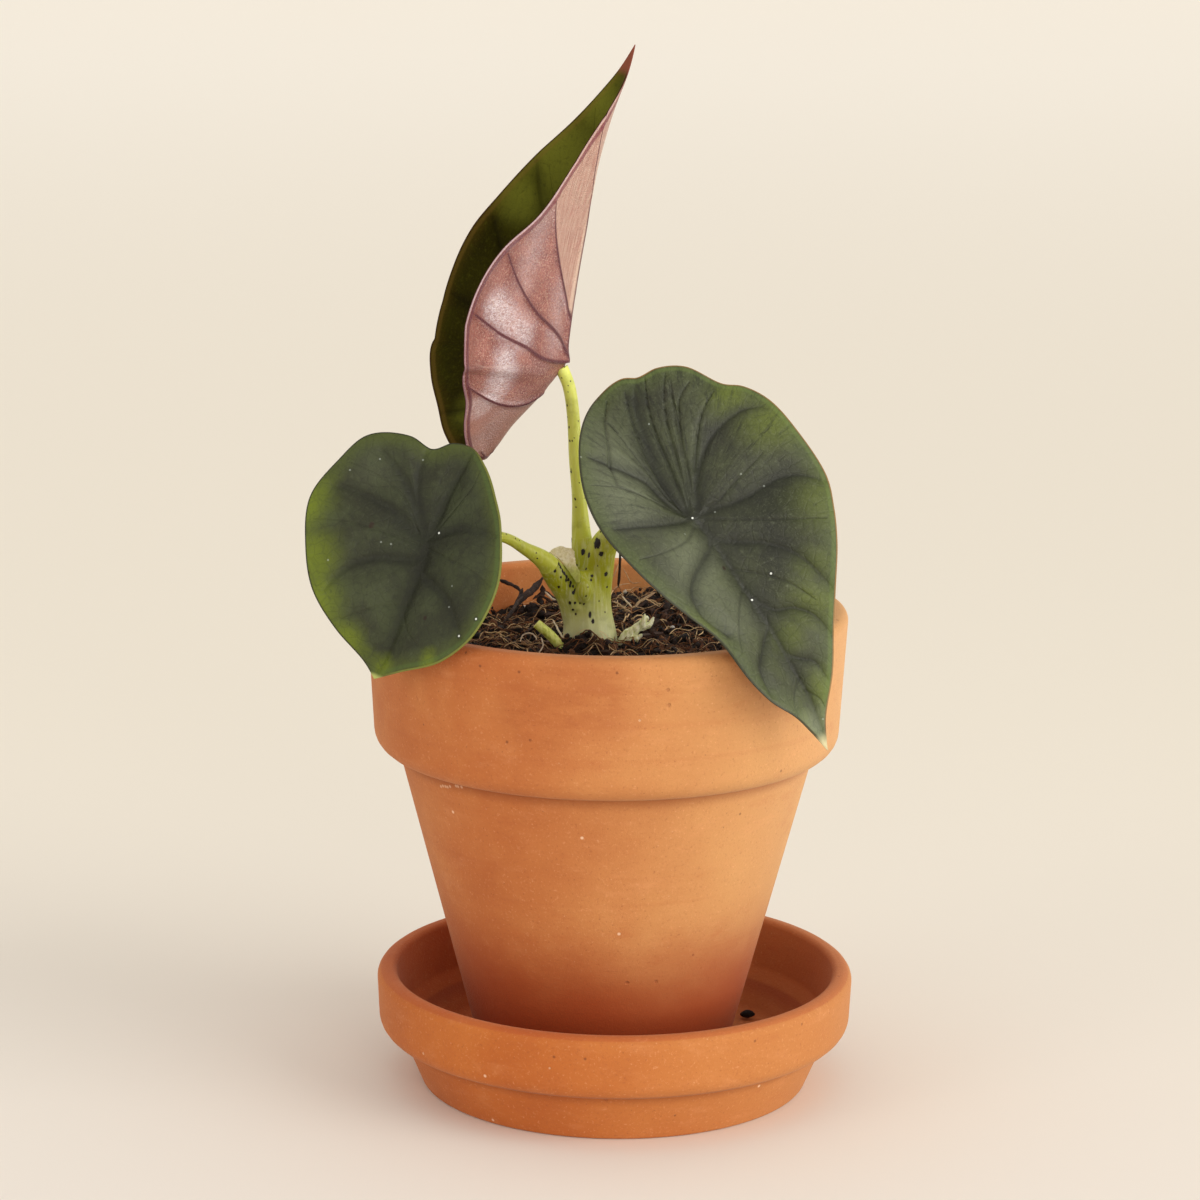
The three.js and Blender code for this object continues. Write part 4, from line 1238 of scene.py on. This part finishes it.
smallShapes = {
    "stub": {
        "path": [(-11.8, -9.4, 103), (-15.4, -9.2, 107.2), (-18.6, -9, 109.9)],
        "radii": [1.1, 1.15, 1.1],
        "hollow": (-0.6, 0, 0.5),     # how far the middle of the cut end is pushed in
        "hollowRadius": 0.5,
    },
    "shoot": {
        "path": [(0.2, -3.4, 101.5), (1.6, -3.1, 105.4), (4.4, -3, 107.8), (6.6, -3, 110.4)],
        "radii": [1.2, 1.4, 1.1, 0.5],
        "prongs": [
            ([(3.6, -3.2, 107), (5.2, -3.6, 109), (6.0, -3.4, 111.2)], [0.9, 0.75, 0.2]),
            ([(4.6, -3, 107.4), (7.2, -2.6, 108.6), (8.0, -2.4, 110.2)], [0.8, 0.6, 0.2]),
            ([(1.2, -3.4, 104.6), (3.4, -4.6, 105.2), (5.4, -5, 106.6)], [0.9, 0.8, 0.3]),
        ],
        "voxel": 0.16,
        "crumple": 0.35,
    },
    "scrap": {
        # its outline as pixels of the picture, and how far forward it lies at each pixel row, in mm
        "outline": [
            (549, 552.5), (550.5, 551), (554, 548.4), (560, 546.2), (567, 547.6), (573, 550), (575, 556), (576, 564),
            (580, 572), (580, 581), (577.5, 583), (572.5, 577), (566.5, 568.5), (559.5, 560), (552.5, 554.5),
        ],
        "rows": [546, 554, 564, 584], "depths": [-1.5, -2.8, -4.6, -6.4],
        "thickness": 0.45,
        "lift": 0.35,             # it lies this far in front of the trunk
        "wrinkle": 0.3,
    },
}


def makeStub(shape):
    stub = drawTube("old_stub", shape["path"], shape["radii"], steps=30, sides=8)
    places = placesOf(stub)
    end = np.array(shape["path"][-1]) * mm
    near = np.linalg.norm(places - end, axis=1) < shape["hollowRadius"] * mm
    places[near] -= np.array(shape["hollow"]) * mm
    setPlaces(stub, places)
    smoothShade(stub, angle=50)
    return stub


def makeShoot(shape):
    parts = [drawTube("torn_shoot", shape["path"], shape["radii"], steps=40, sides=7)]
    for path, radii in shape["prongs"]:
        parts.append(drawTube("prong", path, radii, steps=24, sides=5))
    shoot = joinPieces(parts, "torn_shoot")
    applyModifier(shoot, "REMESH", mode="VOXEL", voxel_size=shape["voxel"] * mm)
    places = placesOf(shoot)
    for i, place in enumerate(places):
        places[i] += np.array(noise.noise_vector(Vector(place) * 900)) * shape["crumple"] * mm
    setPlaces(shoot, places)
    smoothShade(shoot)
    return shoot


def makeScrap(shape, trunk):
    # drawn as it shows in the picture, filled, cut fine, and laid into the notch of the trunk
    outline = smoothPath([(u, 0, v) for u, v in shape["outline"] + shape["outline"][:1]], 60)[:-1]
    piece = meshPiece("dry_sheath", outline, [range(len(outline))])
    pick(piece)
    bpy.ops.object.mode_set(mode="EDIT")
    bpy.ops.mesh.select_all(action="SELECT")
    bpy.ops.mesh.quads_convert_to_tris()
    for _ in range(3):
        bpy.ops.mesh.subdivide()
    bpy.ops.object.mode_set(mode="OBJECT")
    tree = surfaceOf(trunk)
    places = placesOf(piece)
    for i, (u, _, v) in enumerate(places):
        eye, way = pixelRay(u, v)
        far = (np.interp(v, shape["rows"], shape["depths"]) * mm - eye.y) / way.y
        hit = tree.ray_cast(eye, way)
        if hit[0]:
            far = min(far, hit[3] - shape["lift"] * mm)
        wrinkle = noise.noise(Vector((u, v, 0)) * 0.35) * shape["wrinkle"] * mm
        places[i] = eye + way * (far + wrinkle)
    setPlaces(piece, places)
    applyModifier(piece, "SMOOTH", factor=0.5, iterations=2)
    applyModifier(piece, "SOLIDIFY", thickness=shape["thickness"] * mm, offset=0)
    tidyMesh(piece)
    smoothShade(piece, angle=50)
    return piece


def paleFlesh(name, light, dark, rough, foot=None):
    flesh = Finish(name)
    here = flesh.objectPlace()
    fibres = flesh.noise(flesh.stretch(here, (1, 1, 0.3)), 1500, 4, 0.7)
    stains = flesh.noise(here, 500, 3, 0.6)
    flesh.colour = flesh.mix(fibres.between(0.4, 0.65), light, dark)
    if foot:
        height = flesh.parts(here)[2]
        flesh.tint((height + stains * 0.001).between(0.1245, 0.1215) * 0.9, foot)
    flesh.tint(stains.between(0.58, 0.75) * 0.5, rgb(104, 78, 44))
    normal = flesh.bump(fibres + stains * 0.5, 0.0003, 0.7)
    return flesh.surface(rough, normal, 0.5, **{
        "Subsurface Weight": 0.35, "Subsurface Radius": (1.0, 0.95, 0.7), "Subsurface Scale": 0.0016,
    })


stub, shoot = makeStub(smallShapes["stub"]), makeShoot(smallShapes["shoot"])
scrap = makeScrap(smallShapes["scrap"], trunk)
for piece, slot, finish, node in (
    (stub, "pale_shoot", ("stubFlesh", rgb(232, 238, 136), rgb(196, 206, 76), 0.5), "cut_stub"),
    (shoot, "pale_shoot", ("shootFlesh", rgb(250, 252, 216), rgb(210, 216, 144), 0.5), "side_shoot"),
    (scrap, "dry_sheath", ("sheathPaper", rgb(250, 240, 204), rgb(228, 214, 160), 0.7, rgb(182, 192, 80)),
     "sheath_scrap"),
):
    keep(piece, [paleFlesh(*finish)], [node])
print("scrap, stub and shoot made")


# Soil: an uneven bed, crumbs, bark chips, fibres and a little perlite

soilShape = {
    "middle": -2.5,
    "sides": 200,
    "level": 104.0,
    "corners": [(0, 13.3, 0), (24.3, 13.3, 2), (42.6, 79.4, 0), (47.1, 92, 0), (48.0, 103.2, 0)],
    "ringStep": 0.55,
    "swells": [(12, 32, 20, 2.2), (-22, 28, 16, -3), (-3.5, -7.5, 5.5, 2.4), (-9.8, -9.8, 3.5, 1.6)],
    "ripples": [(0.5, 0.41, 0.37, 0.9), (0.5, 0.83, -0.7, 0), (0.4, 0.9, 1.31, 3.6)],
    "bedDrop": 0.9,           # the bed lies this far under the crumbs' level
    "bedRough": 0.8,
    "clear": (4, 6.4),        # the trunk stands this far left of the pot's axis, and is kept clear this far round
    "wall": 46.5,             # nothing lies further out than this
    "crumbs": 5200,
    "crumbSize": (0.22, 1.0), "crumbSink": 0.3, "crumbLift": (-0.5, 0.5), "crumbStretch": (0.7, 1.2),
    "chips": 210, "chipReach": 43, "chipLift": (-0.3, 0.7), "chipTilt": 0.9,
    "chipLength": (0.9, 3.0), "chipWidth": (0.12, 0.34), "chipThickness": (0.15, 0.4),
    "fibres": 1250, "fibreReach": 44, "fibreSteps": (4, 8), "fibreRest": 0.15,
    "fibreStep": (0.8, 2.2), "fibreLift": (0.2, 1.3), "fibreBend": 0.13, "fibreRadius": (0.05, 0.12),
    "perlite": [(672, 631, 1.1), (625, 593, 0.7), (524, 608, 0.6)],
    "seed": 5,
    # radius in mm, tone, and pixels of the picture with how far back each lies, in mm
    "darkTwigs": [
        (0.42, 0.3, [(498.3, 580, 38), (504, 582, 38), (510.5, 584, 37), (516, 587, 36), (521.5, 592, 34)]),
        (0.85, 0.1, [
            (517, 606, 28), (521, 599, 30), (527, 594.5, 32), (532, 590, 35), (536.5, 586, 37), (541, 580, 39),
        ]),
        (0.3, 0.5, [(536, 587, 36), (540, 581, 38), (543.5, 576.5, 39)]),
        (0.6, 0.1, [(523, 588, 36), (519.5, 596, 33), (516.5, 604, 30), (512, 612, 27)]),
        (0.7, 0.2, [(542.5, 586, 38), (543, 592, 37), (539.5, 597, 36), (541, 604, 33)]),
        (0.35, 0.6, [(533, 599, 34), (538, 596, 35), (546, 598, 35), (553, 604, 33)]),
        (0.34, 0.2, [(543, 590, 38), (549, 594, 37), (554, 598, 36), (561, 600, 34)]),
        (0.3, 0.2, [(619.6, 550.5, 6), (620, 560, 6), (619.6, 570, 6), (619, 579, 6), (618, 588, 6)]),
        (0.4, 0.4, [(503, 623, 10), (511, 613, 14), (517, 603, 20), (523, 596, 26)]),
    ],
    "paleTwigs": [
        (0.24, 0.9, [(545, 592, 36), (549, 595.5, 35), (552, 599, 34), (556, 600, 33)]),
        (0.22, 1.0, [(552.8, 620, -6), (555.5, 624.5, -6.4), (558.3, 630, -6.8), (561, 635, -7.2),
                     (564, 639.5, -7.6)]),
        (0.3, 0.8, [(635, 607.5, 6), (638, 603, 6), (643, 599.5, 6.2), (649, 596, 6.4), (655, 592.5, 6.6)]),
        (0.13, 0.5, [(613, 577, 30), (616, 571, 31), (618.5, 564, 32)]),
        (0.13, 0.5, [(623, 568, 34), (627, 575, 33), (632, 583, 32), (641, 582.5, 32)]),
        (0.13, 0.5, [(612, 590, 26), (620, 585, 28), (630, 583.5, 31)]),
        (0.2, 0.8, [(612, 601, 8), (619, 604, 8), (625, 609, 7.6), (631, 611, 7.4)]),
        (0.2, 0.9, [(622, 596, 9), (627, 602, 8), (632, 607, 7.4)]),
        (0.18, 0.9, [(537, 640, -14), (533, 634, -13), (524, 634, -13), (520, 642, -14)]),
        (0.18, 0.9, [(538, 655, -18), (543, 645, -16), (541, 637, -14)]),
    ],
}


def soilHeight(x, y):
    # x, y in mm from the pot's axis
    height = soilShape["level"]
    for atX, atY, radius, rise in soilShape["swells"]:
        height += rise * math.exp(-((x - atX) ** 2 + (y - atY) ** 2) / radius ** 2)
    for rise, alongX, alongY, phase in soilShape["ripples"]:
        height += rise * math.sin(alongX * x + alongY * y + phase)
    return height


def makeBed(shape):
    rings = roundedRings(shape["corners"])
    radius = shape["corners"][-1][0]
    while radius > shape["ringStep"]:
        radius -= shape["ringStep"]
        rings.append(Vector((radius, shape["level"])))
    rings.append(Vector((0, shape["level"])))
    bed = turnPiece("soil_bed", rings, shape["sides"], shape["middle"])
    places = placesOf(bed)
    for i, (x, y, z) in enumerate(places):
        if z / mm > shape["level"] - 1:
            localX, localY = x / mm - shape["middle"], y / mm
            rough = noise.fractal(Vector((localX, localY, 0)) * 0.45, 0.8, 2.1, 4) * shape["bedRough"]
            places[i][2] = (soilHeight(localX, localY) - shape["bedDrop"] + rough) * mm
    setPlaces(bed, places)
    smoothShade(bed)
    return bed


def soilSpot(rand, shape, reach):
    # a place on the bed, clear of the trunk
    left, clear = shape["clear"]
    while True:
        radius = reach * math.sqrt(rand.random())
        turn = rand.uniform(0, 2 * math.pi)
        x, y = radius * math.cos(turn), radius * math.sin(turn)
        if math.hypot(x + left, y) > clear:
            return x, y, soilHeight(x, y)


def scatter(name, template, copies):
    # copies of a small mesh, all in one piece; each has a place, a turn, a size and a tone
    base = placesOf(template)
    faces = [list(face.vertices) for face in template.data.polygons]
    parts = []
    for place, turn, size, tone in copies:
        parts.append(((base * np.array(size)) @ np.array(turn.to_3x3()).T + np.array(place), faces, tone))
    bpy.data.objects.remove(template)
    return tonedMesh(name, parts)


def randomTurn(rand, tilt=math.pi):
    axis = Vector((rand.gauss(0, 1), rand.gauss(0, 1), rand.gauss(0, 1))).normalized()
    spin = Matrix.Rotation(rand.uniform(0, 2 * math.pi), 4, "Z")
    return Matrix.Rotation(rand.uniform(-tilt, tilt), 4, axis) @ spin


def crumbTemplate(seed, detail=1):
    clearSelection()
    bpy.ops.mesh.primitive_ico_sphere_add(subdivisions=detail, radius=1)
    crumb = bpy.context.object
    places = placesOf(crumb)
    for i, place in enumerate(places):
        places[i] *= 1 + 0.45 * noise.noise(Vector(place) * 1.3 + Vector((seed, 0, 0)))
    setPlaces(crumb, places)
    return crumb


def chipTemplate():
    clearSelection()
    bpy.ops.mesh.primitive_cube_add(size=2)
    chip = bpy.context.object
    bpy.ops.object.mode_set(mode="EDIT")
    bpy.ops.mesh.subdivide(number_cuts=1)
    bpy.ops.object.mode_set(mode="OBJECT")
    places = placesOf(chip)
    for i, place in enumerate(places):
        places[i] += np.array(noise.noise_vector(Vector(place) * 1.1)) * (0.32, 0.32, 0.5)
    setPlaces(chip, places)
    return chip


def makeCrumbs(shape, rand):
    groups = []
    kinds = 4
    least, extra = shape["crumbSize"]
    for kind in range(kinds):
        copies = []
        for _ in range(shape["crumbs"] // kinds):
            x, y, z = soilSpot(rand, shape, shape["wall"])
            size = least + extra * rand.random() ** 3
            lift = rand.uniform(*shape["crumbLift"])
            place = ((x + shape["middle"]) * mm, y * mm, (z - shape["crumbSink"] * size + lift) * mm)
            turn = randomTurn(rand)
            sizes = [size * mm * rand.uniform(*shape["crumbStretch"]) for _ in range(3)]
            copies.append((place, turn, sizes, rand.random()))
        groups.append(scatter("crumbs" + str(kind), crumbTemplate(kind * 3.7), copies))
    crumbs = joinPieces(groups, "soil_crumbs")
    smoothShade(crumbs, angle=60)
    return crumbs


def makeChips(shape, rand):
    copies = []
    for _ in range(shape["chips"]):
        x, y, z = soilSpot(rand, shape, shape["chipReach"])
        length = rand.uniform(*shape["chipLength"])
        place = ((x + shape["middle"]) * mm, y * mm, (z + rand.uniform(*shape["chipLift"])) * mm)
        turn = randomTurn(rand, shape["chipTilt"])
        width, thickness = length * rand.uniform(*shape["chipWidth"]), rand.uniform(*shape["chipThickness"])
        copies.append((place, turn, (length * mm, width * mm, thickness * mm), rand.random()))
    chips = scatter("bark_chips", chipTemplate(), copies)
    smoothShade(chips, angle=30)
    return chips


def stringMesh(path, radius, sides=3):
    # a thin tube with pointed ends, in mm
    line = smoothPath(path, max(8, len(path) * 2))
    along = np.gradient(line, axis=0)
    along /= np.linalg.norm(along, axis=1)[:, None]
    side = np.cross(along, (0.13, 0.2, 0.97))
    side /= np.linalg.norm(side, axis=1)[:, None]
    up = np.cross(side, along)
    count = len(line)
    thick = radius * np.minimum(1, 6 * np.minimum(np.linspace(0, 1, count), np.linspace(1, 0, count)) + 0.25)
    turns = 2 * np.pi * np.arange(sides) / sides
    places = (
        line[:, None] + thick[:, None, None] * (
            np.cos(turns)[None, :, None] * side[:, None] + np.sin(turns)[None, :, None] * up[:, None])
    ).reshape(-1, 3)
    faces = []
    for i in range(count - 1):
        for j in range(sides):
            a, b = i * sides + j, i * sides + (j + 1) % sides
            faces.append((a, b, b + sides, a + sides))
    faces.append(tuple(range(sides))[::-1])
    faces.append(tuple(range((count - 1) * sides, count * sides)))
    return places, faces


def finishStrings(name, parts, angle):
    piece = tonedMesh(name, parts, mm)
    tidyMesh(piece, 0.0000001)
    smoothShade(piece, angle)
    return piece


def makeFibres(shape, rand):
    parts = []
    least, extra = shape["fibreRadius"]
    for _ in range(shape["fibres"]):
        x, y, _ = soilSpot(rand, shape, shape["fibreReach"])
        heading = rand.uniform(0, 2 * math.pi)
        bend = rand.gauss(0, shape["fibreBend"])
        step = rand.uniform(*shape["fibreStep"])
        lift = rand.uniform(*shape["fibreLift"])
        points = []
        steps = rand.randint(*shape["fibreSteps"])
        for k in range(steps):
            arch = math.sin(math.pi * k / (steps - 1)) * lift
            points.append((x + shape["middle"], y, soilHeight(x, y) + shape["fibreRest"] + arch))
            heading += bend + rand.gauss(0, shape["fibreBend"])
            x, y = x + step * math.cos(heading), y + step * math.sin(heading)
            if math.hypot(x, y) > shape["wall"]:
                # turn back at the pot's wall
                heading += math.pi * 0.7
                x, y = x * 0.95, y * 0.95
        places, faces = stringMesh(points, least + extra * rand.random() ** 2)
        parts.append((places, faces, rand.random()))
    return finishStrings("soil_fibres", parts, 60)


def depthPlace(u, v, y):
    # the place behind a pixel of the picture, y mm from the front-to-back middle
    eye, way = pixelRay(u, v)
    return (eye + way * ((y * mm - eye.y) / way.y)) / mm


def makeTwigs(name, twigs):
    parts = []
    for radius, tone, pixels in twigs:
        places, faces = stringMesh([depthPlace(*pixel) for pixel in pixels], radius, sides=7)
        for i, place in enumerate(places):
            places[i] += np.array(noise.noise_vector(Vector(place) * 0.9)) * radius * 0.6
        parts.append((places, faces, tone))
    return finishStrings(name, parts, 50)


def makePerlite(shape, rand, bed):
    copies = []
    for place, size in castOn(bed, shape["perlite"]):
        copies.append((np.array(place) + (0, 0, 0.5 * size * mm), randomTurn(rand), [size * 0.7 * mm] * 3, 0.5))
    perlite = scatter("perlite", crumbTemplate(seed=2.1, detail=2), copies)
    smoothShade(perlite, angle=60)
    return perlite


def earth(name, dark, mid, light, lightFrom):
    ground = Finish(name)
    here = ground.objectPlace()
    tone = ground.attribute("tone")
    patches = ground.noise(here, 420, 4, 0.7)
    grain = ground.noise(here, 2600, 4, 0.75)
    ground.colour = ground.mix(patches.between(0.35, 0.65), dark, mid)
    ground.tint(tone.between(lightFrom, 1.0), light)
    ground.tint(grain.between(0.55, 0.75) * 0.35, light)
    normal = ground.bump(grain + patches * 0.6, 0.0006, 0.8)
    return ground.surface(grain.between(0.3, 0.7) * 0.3 + 0.6, normal, 0.35)


earthTones = {
    # name, dark, middle and light colour, and the tone from which a bit is light
    "bed": ("soilEarth", rgb(22, 14, 10), rgb(48, 32, 22), rgb(86, 58, 38), 0.8),
    "crumbs": ("soilCrumb", rgb(13, 8, 6), rgb(46, 28, 20), rgb(112, 72, 46), 0.72),
    "chips": ("barkChip", rgb(30, 18, 12), rgb(70, 42, 26), rgb(120, 78, 48), 0.6),
    "fibres": ("tanFibre", rgb(78, 46, 27), rgb(148, 96, 55), rgb(252, 216, 160), 0.55),
    "perlite": ("perliteGrain", rgb(208, 204, 194), rgb(230, 226, 216), rgb(244, 240, 232), 0.8),
    "twigs": ("darkTwig", rgb(26, 16, 12), rgb(58, 36, 24), rgb(110, 74, 46), 0.45),
    "rootlets": ("paleFibre", rgb(170, 124, 84), rgb(206, 166, 118), rgb(244, 228, 200), 0.7),
    "fallen": ("fallenCrumb", rgb(14, 10, 8), rgb(34, 24, 18), rgb(60, 42, 30), 0.8),
}


def keepEarth(piece, kind, replaces=()):
    return keep(piece, [earth(*earthTones[kind])], replaces)


rand = random.Random(soilShape["seed"])
bed = keepEarth(makeBed(soilShape), "bed", ["soil"])
crumbs = keepEarth(makeCrumbs(soilShape, rand), "crumbs")
chips = keepEarth(makeChips(soilShape, rand), "chips")
fibres = keepEarth(makeFibres(soilShape, rand), "fibres")
keepEarth(makePerlite(soilShape, rand, bed), "perlite")
keepEarth(makeTwigs("bark_twigs", soilShape["darkTwigs"]), "twigs")
keepEarth(makeTwigs("pale_fibres", soilShape["paleTwigs"]), "rootlets")
print("soil laid:", len(crumbs.data.polygons) + len(chips.data.polygons) + len(fibres.data.polygons), "faces")


# The crumb of soil in the saucer

def makeFallenCrumb():
    crumb = crumbTemplate(seed=8.3, detail=2)
    low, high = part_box("soil_crumb")
    middle, size = (low + high) / 2, (high - low) / 2
    fill = 0.92               # it keeps inside its node's box
    setPlaces(crumb, placesOf(crumb) * np.array(size) * fill + np.array(middle))
    crumb.name = "fallen_crumb"
    setValues(crumb, "tone", [0.2] * len(crumb.data.vertices))
    applyModifier(crumb, "SUBSURF", levels=2, render_levels=2)
    smoothShade(crumb)
    return crumb


keepEarth(makeFallenCrumb(), "fallen", ["soil_crumb"])


# Studio: a sweep of pale paper, a soft sun from the right, three softboxes and a card that only shines

studio = {
    # the paper's colours near, in the middle and far back: painted light, lighter further back
    "nearPaper": rgb(238, 231, 223), "middlePaper": rgb(240, 232, 218), "farPaper": rgb(250, 244, 234),
    "floorLength": 5.2,       # how far behind the pot the paper lies flat, in metres
    "floorFront": -2.5,       # where it starts, in front of the pot
    "floorBend": 1.5,         # radius in which it turns up
    "floorRise": 1.5,         # and how far it goes on straight up
    "halfWidth": 5,
    "floorGap": 0.00002,      # it lies this little below the saucer
    "air": (1.0, 0.968, 0.915),
    "airStrength": 0.77,
    "keyTurn": 31,            # degrees in front of the right-hand side
    "keyHeight": 22,          # degrees above the floor
    "keySpread": 42,
    "keyStrength": 1.3,
    "keyDistance": 3,
    "keyColour": (1.0, 0.985, 0.95),
    "softboxSpread": 90,
    "softboxes": [
        # name, place, aimed at, size, power, colour, and whether it lights surfaces or only shines on them
        ("leftSoftbox", (-1.6, -1.2, 0.9), (0, 0, 0.12), 0.9, 0.9, (1.0, 0.97, 0.92), True),
        ("frontSoftbox", (0.5, -1.5, 0.3), (0, 0, 0.03), 0.7, 1.4, (1.0, 0.96, 0.9), True),
        ("sideSoftbox", (0.7, -0.1, 0.2), (0, 0, 0.08), 0.3, 0.13, (1.0, 0.95, 0.86), True),
        ("shineCard", (0.165, 0.02, 0.06), (-0.026, -0.015, 0.172), 0.1, 0.05, (1.0, 0.96, 0.95), False),
    ],
}


def makeSweep(setup):
    clearSelection()
    bpy.ops.mesh.primitive_grid_add(x_subdivisions=2, y_subdivisions=80, size=2)
    sweep = bpy.context.object
    sweep.name = "paper_sweep"
    places = placesOf(sweep)
    start, bend, front = setup["floorLength"], setup["floorBend"], setup["floorFront"]
    quarter = bend * math.pi / 2
    for i, (x, y, _) in enumerate(places):
        walked = front + (y + 1) / 2 * (start - front + quarter + setup["floorRise"])
        turn = min(max(walked - start, 0) / bend, math.pi / 2)
        rise = max(walked - start - quarter, 0)
        height = bend * (1 - math.cos(turn)) + rise - setup["floorGap"]
        places[i] = (x * setup["halfWidth"], min(walked, start) + bend * math.sin(turn), height)
    setPlaces(sweep, places)
    smoothShade(sweep)
    paper = Finish("paper")
    here = paper.objectPlace()
    tooth = paper.noise(here, 900, 2, 0.5)
    depth = paper.parts(here)[1]
    # painted light: the paper is darker in front and lighter further back
    paper.colour = paper.mix(depth.between(-0.25, 0.4), setup["nearPaper"], setup["middlePaper"])
    paper.tint(depth.between(0.5, 3.2), setup["farPaper"])
    sweep.data.materials.append(paper.surface(0.9, paper.bump(tooth, 0.0001, 0.15), 0.2))


def aimLight(name, kind, place, target, energy, colour, **settings):
    data = bpy.data.lights.new(name, kind)
    data.energy = energy
    data.color = colour
    for key, value in settings.items():
        setattr(data, key, value)
    light = bpy.data.objects.new(name, data)
    light.location = place
    light.rotation_euler = (Vector(target) - Vector(place)).to_track_quat("-Z", "Y").to_euler()
    light.visible_camera = False
    bpy.context.scene.collection.objects.link(light)
    return light


def addLights(setup):
    turn, height = math.radians(setup["keyTurn"]), math.radians(setup["keyHeight"])
    away = setup["keyDistance"]
    level = math.cos(height) * away
    key = (math.cos(turn) * level, -math.sin(turn) * level, math.sin(height) * away)
    aimLight("keySun", "SUN", key, (0, 0, 0), setup["keyStrength"], setup["keyColour"],
             angle=math.radians(setup["keySpread"]))
    for name, place, target, size, power, colour, lights in setup["softboxes"]:
        softbox = aimLight(name, "AREA", place, target, power, colour, shape="DISK", size=size,
                           spread=math.radians(setup["softboxSpread"]))
        softbox.visible_diffuse = lights
    world = bpy.data.worlds.new("studioAir")
    world.use_nodes = True
    air = world.node_tree.nodes["Background"]
    air.inputs["Color"].default_value = (*setup["air"], 1)
    air.inputs["Strength"].default_value = setup["airStrength"]
    bpy.context.scene.world = world


makeSweep(studio)
addLights(studio)
bpy.context.scene.view_settings.view_transform = "Standard"
print("studio set")

clearSelection()
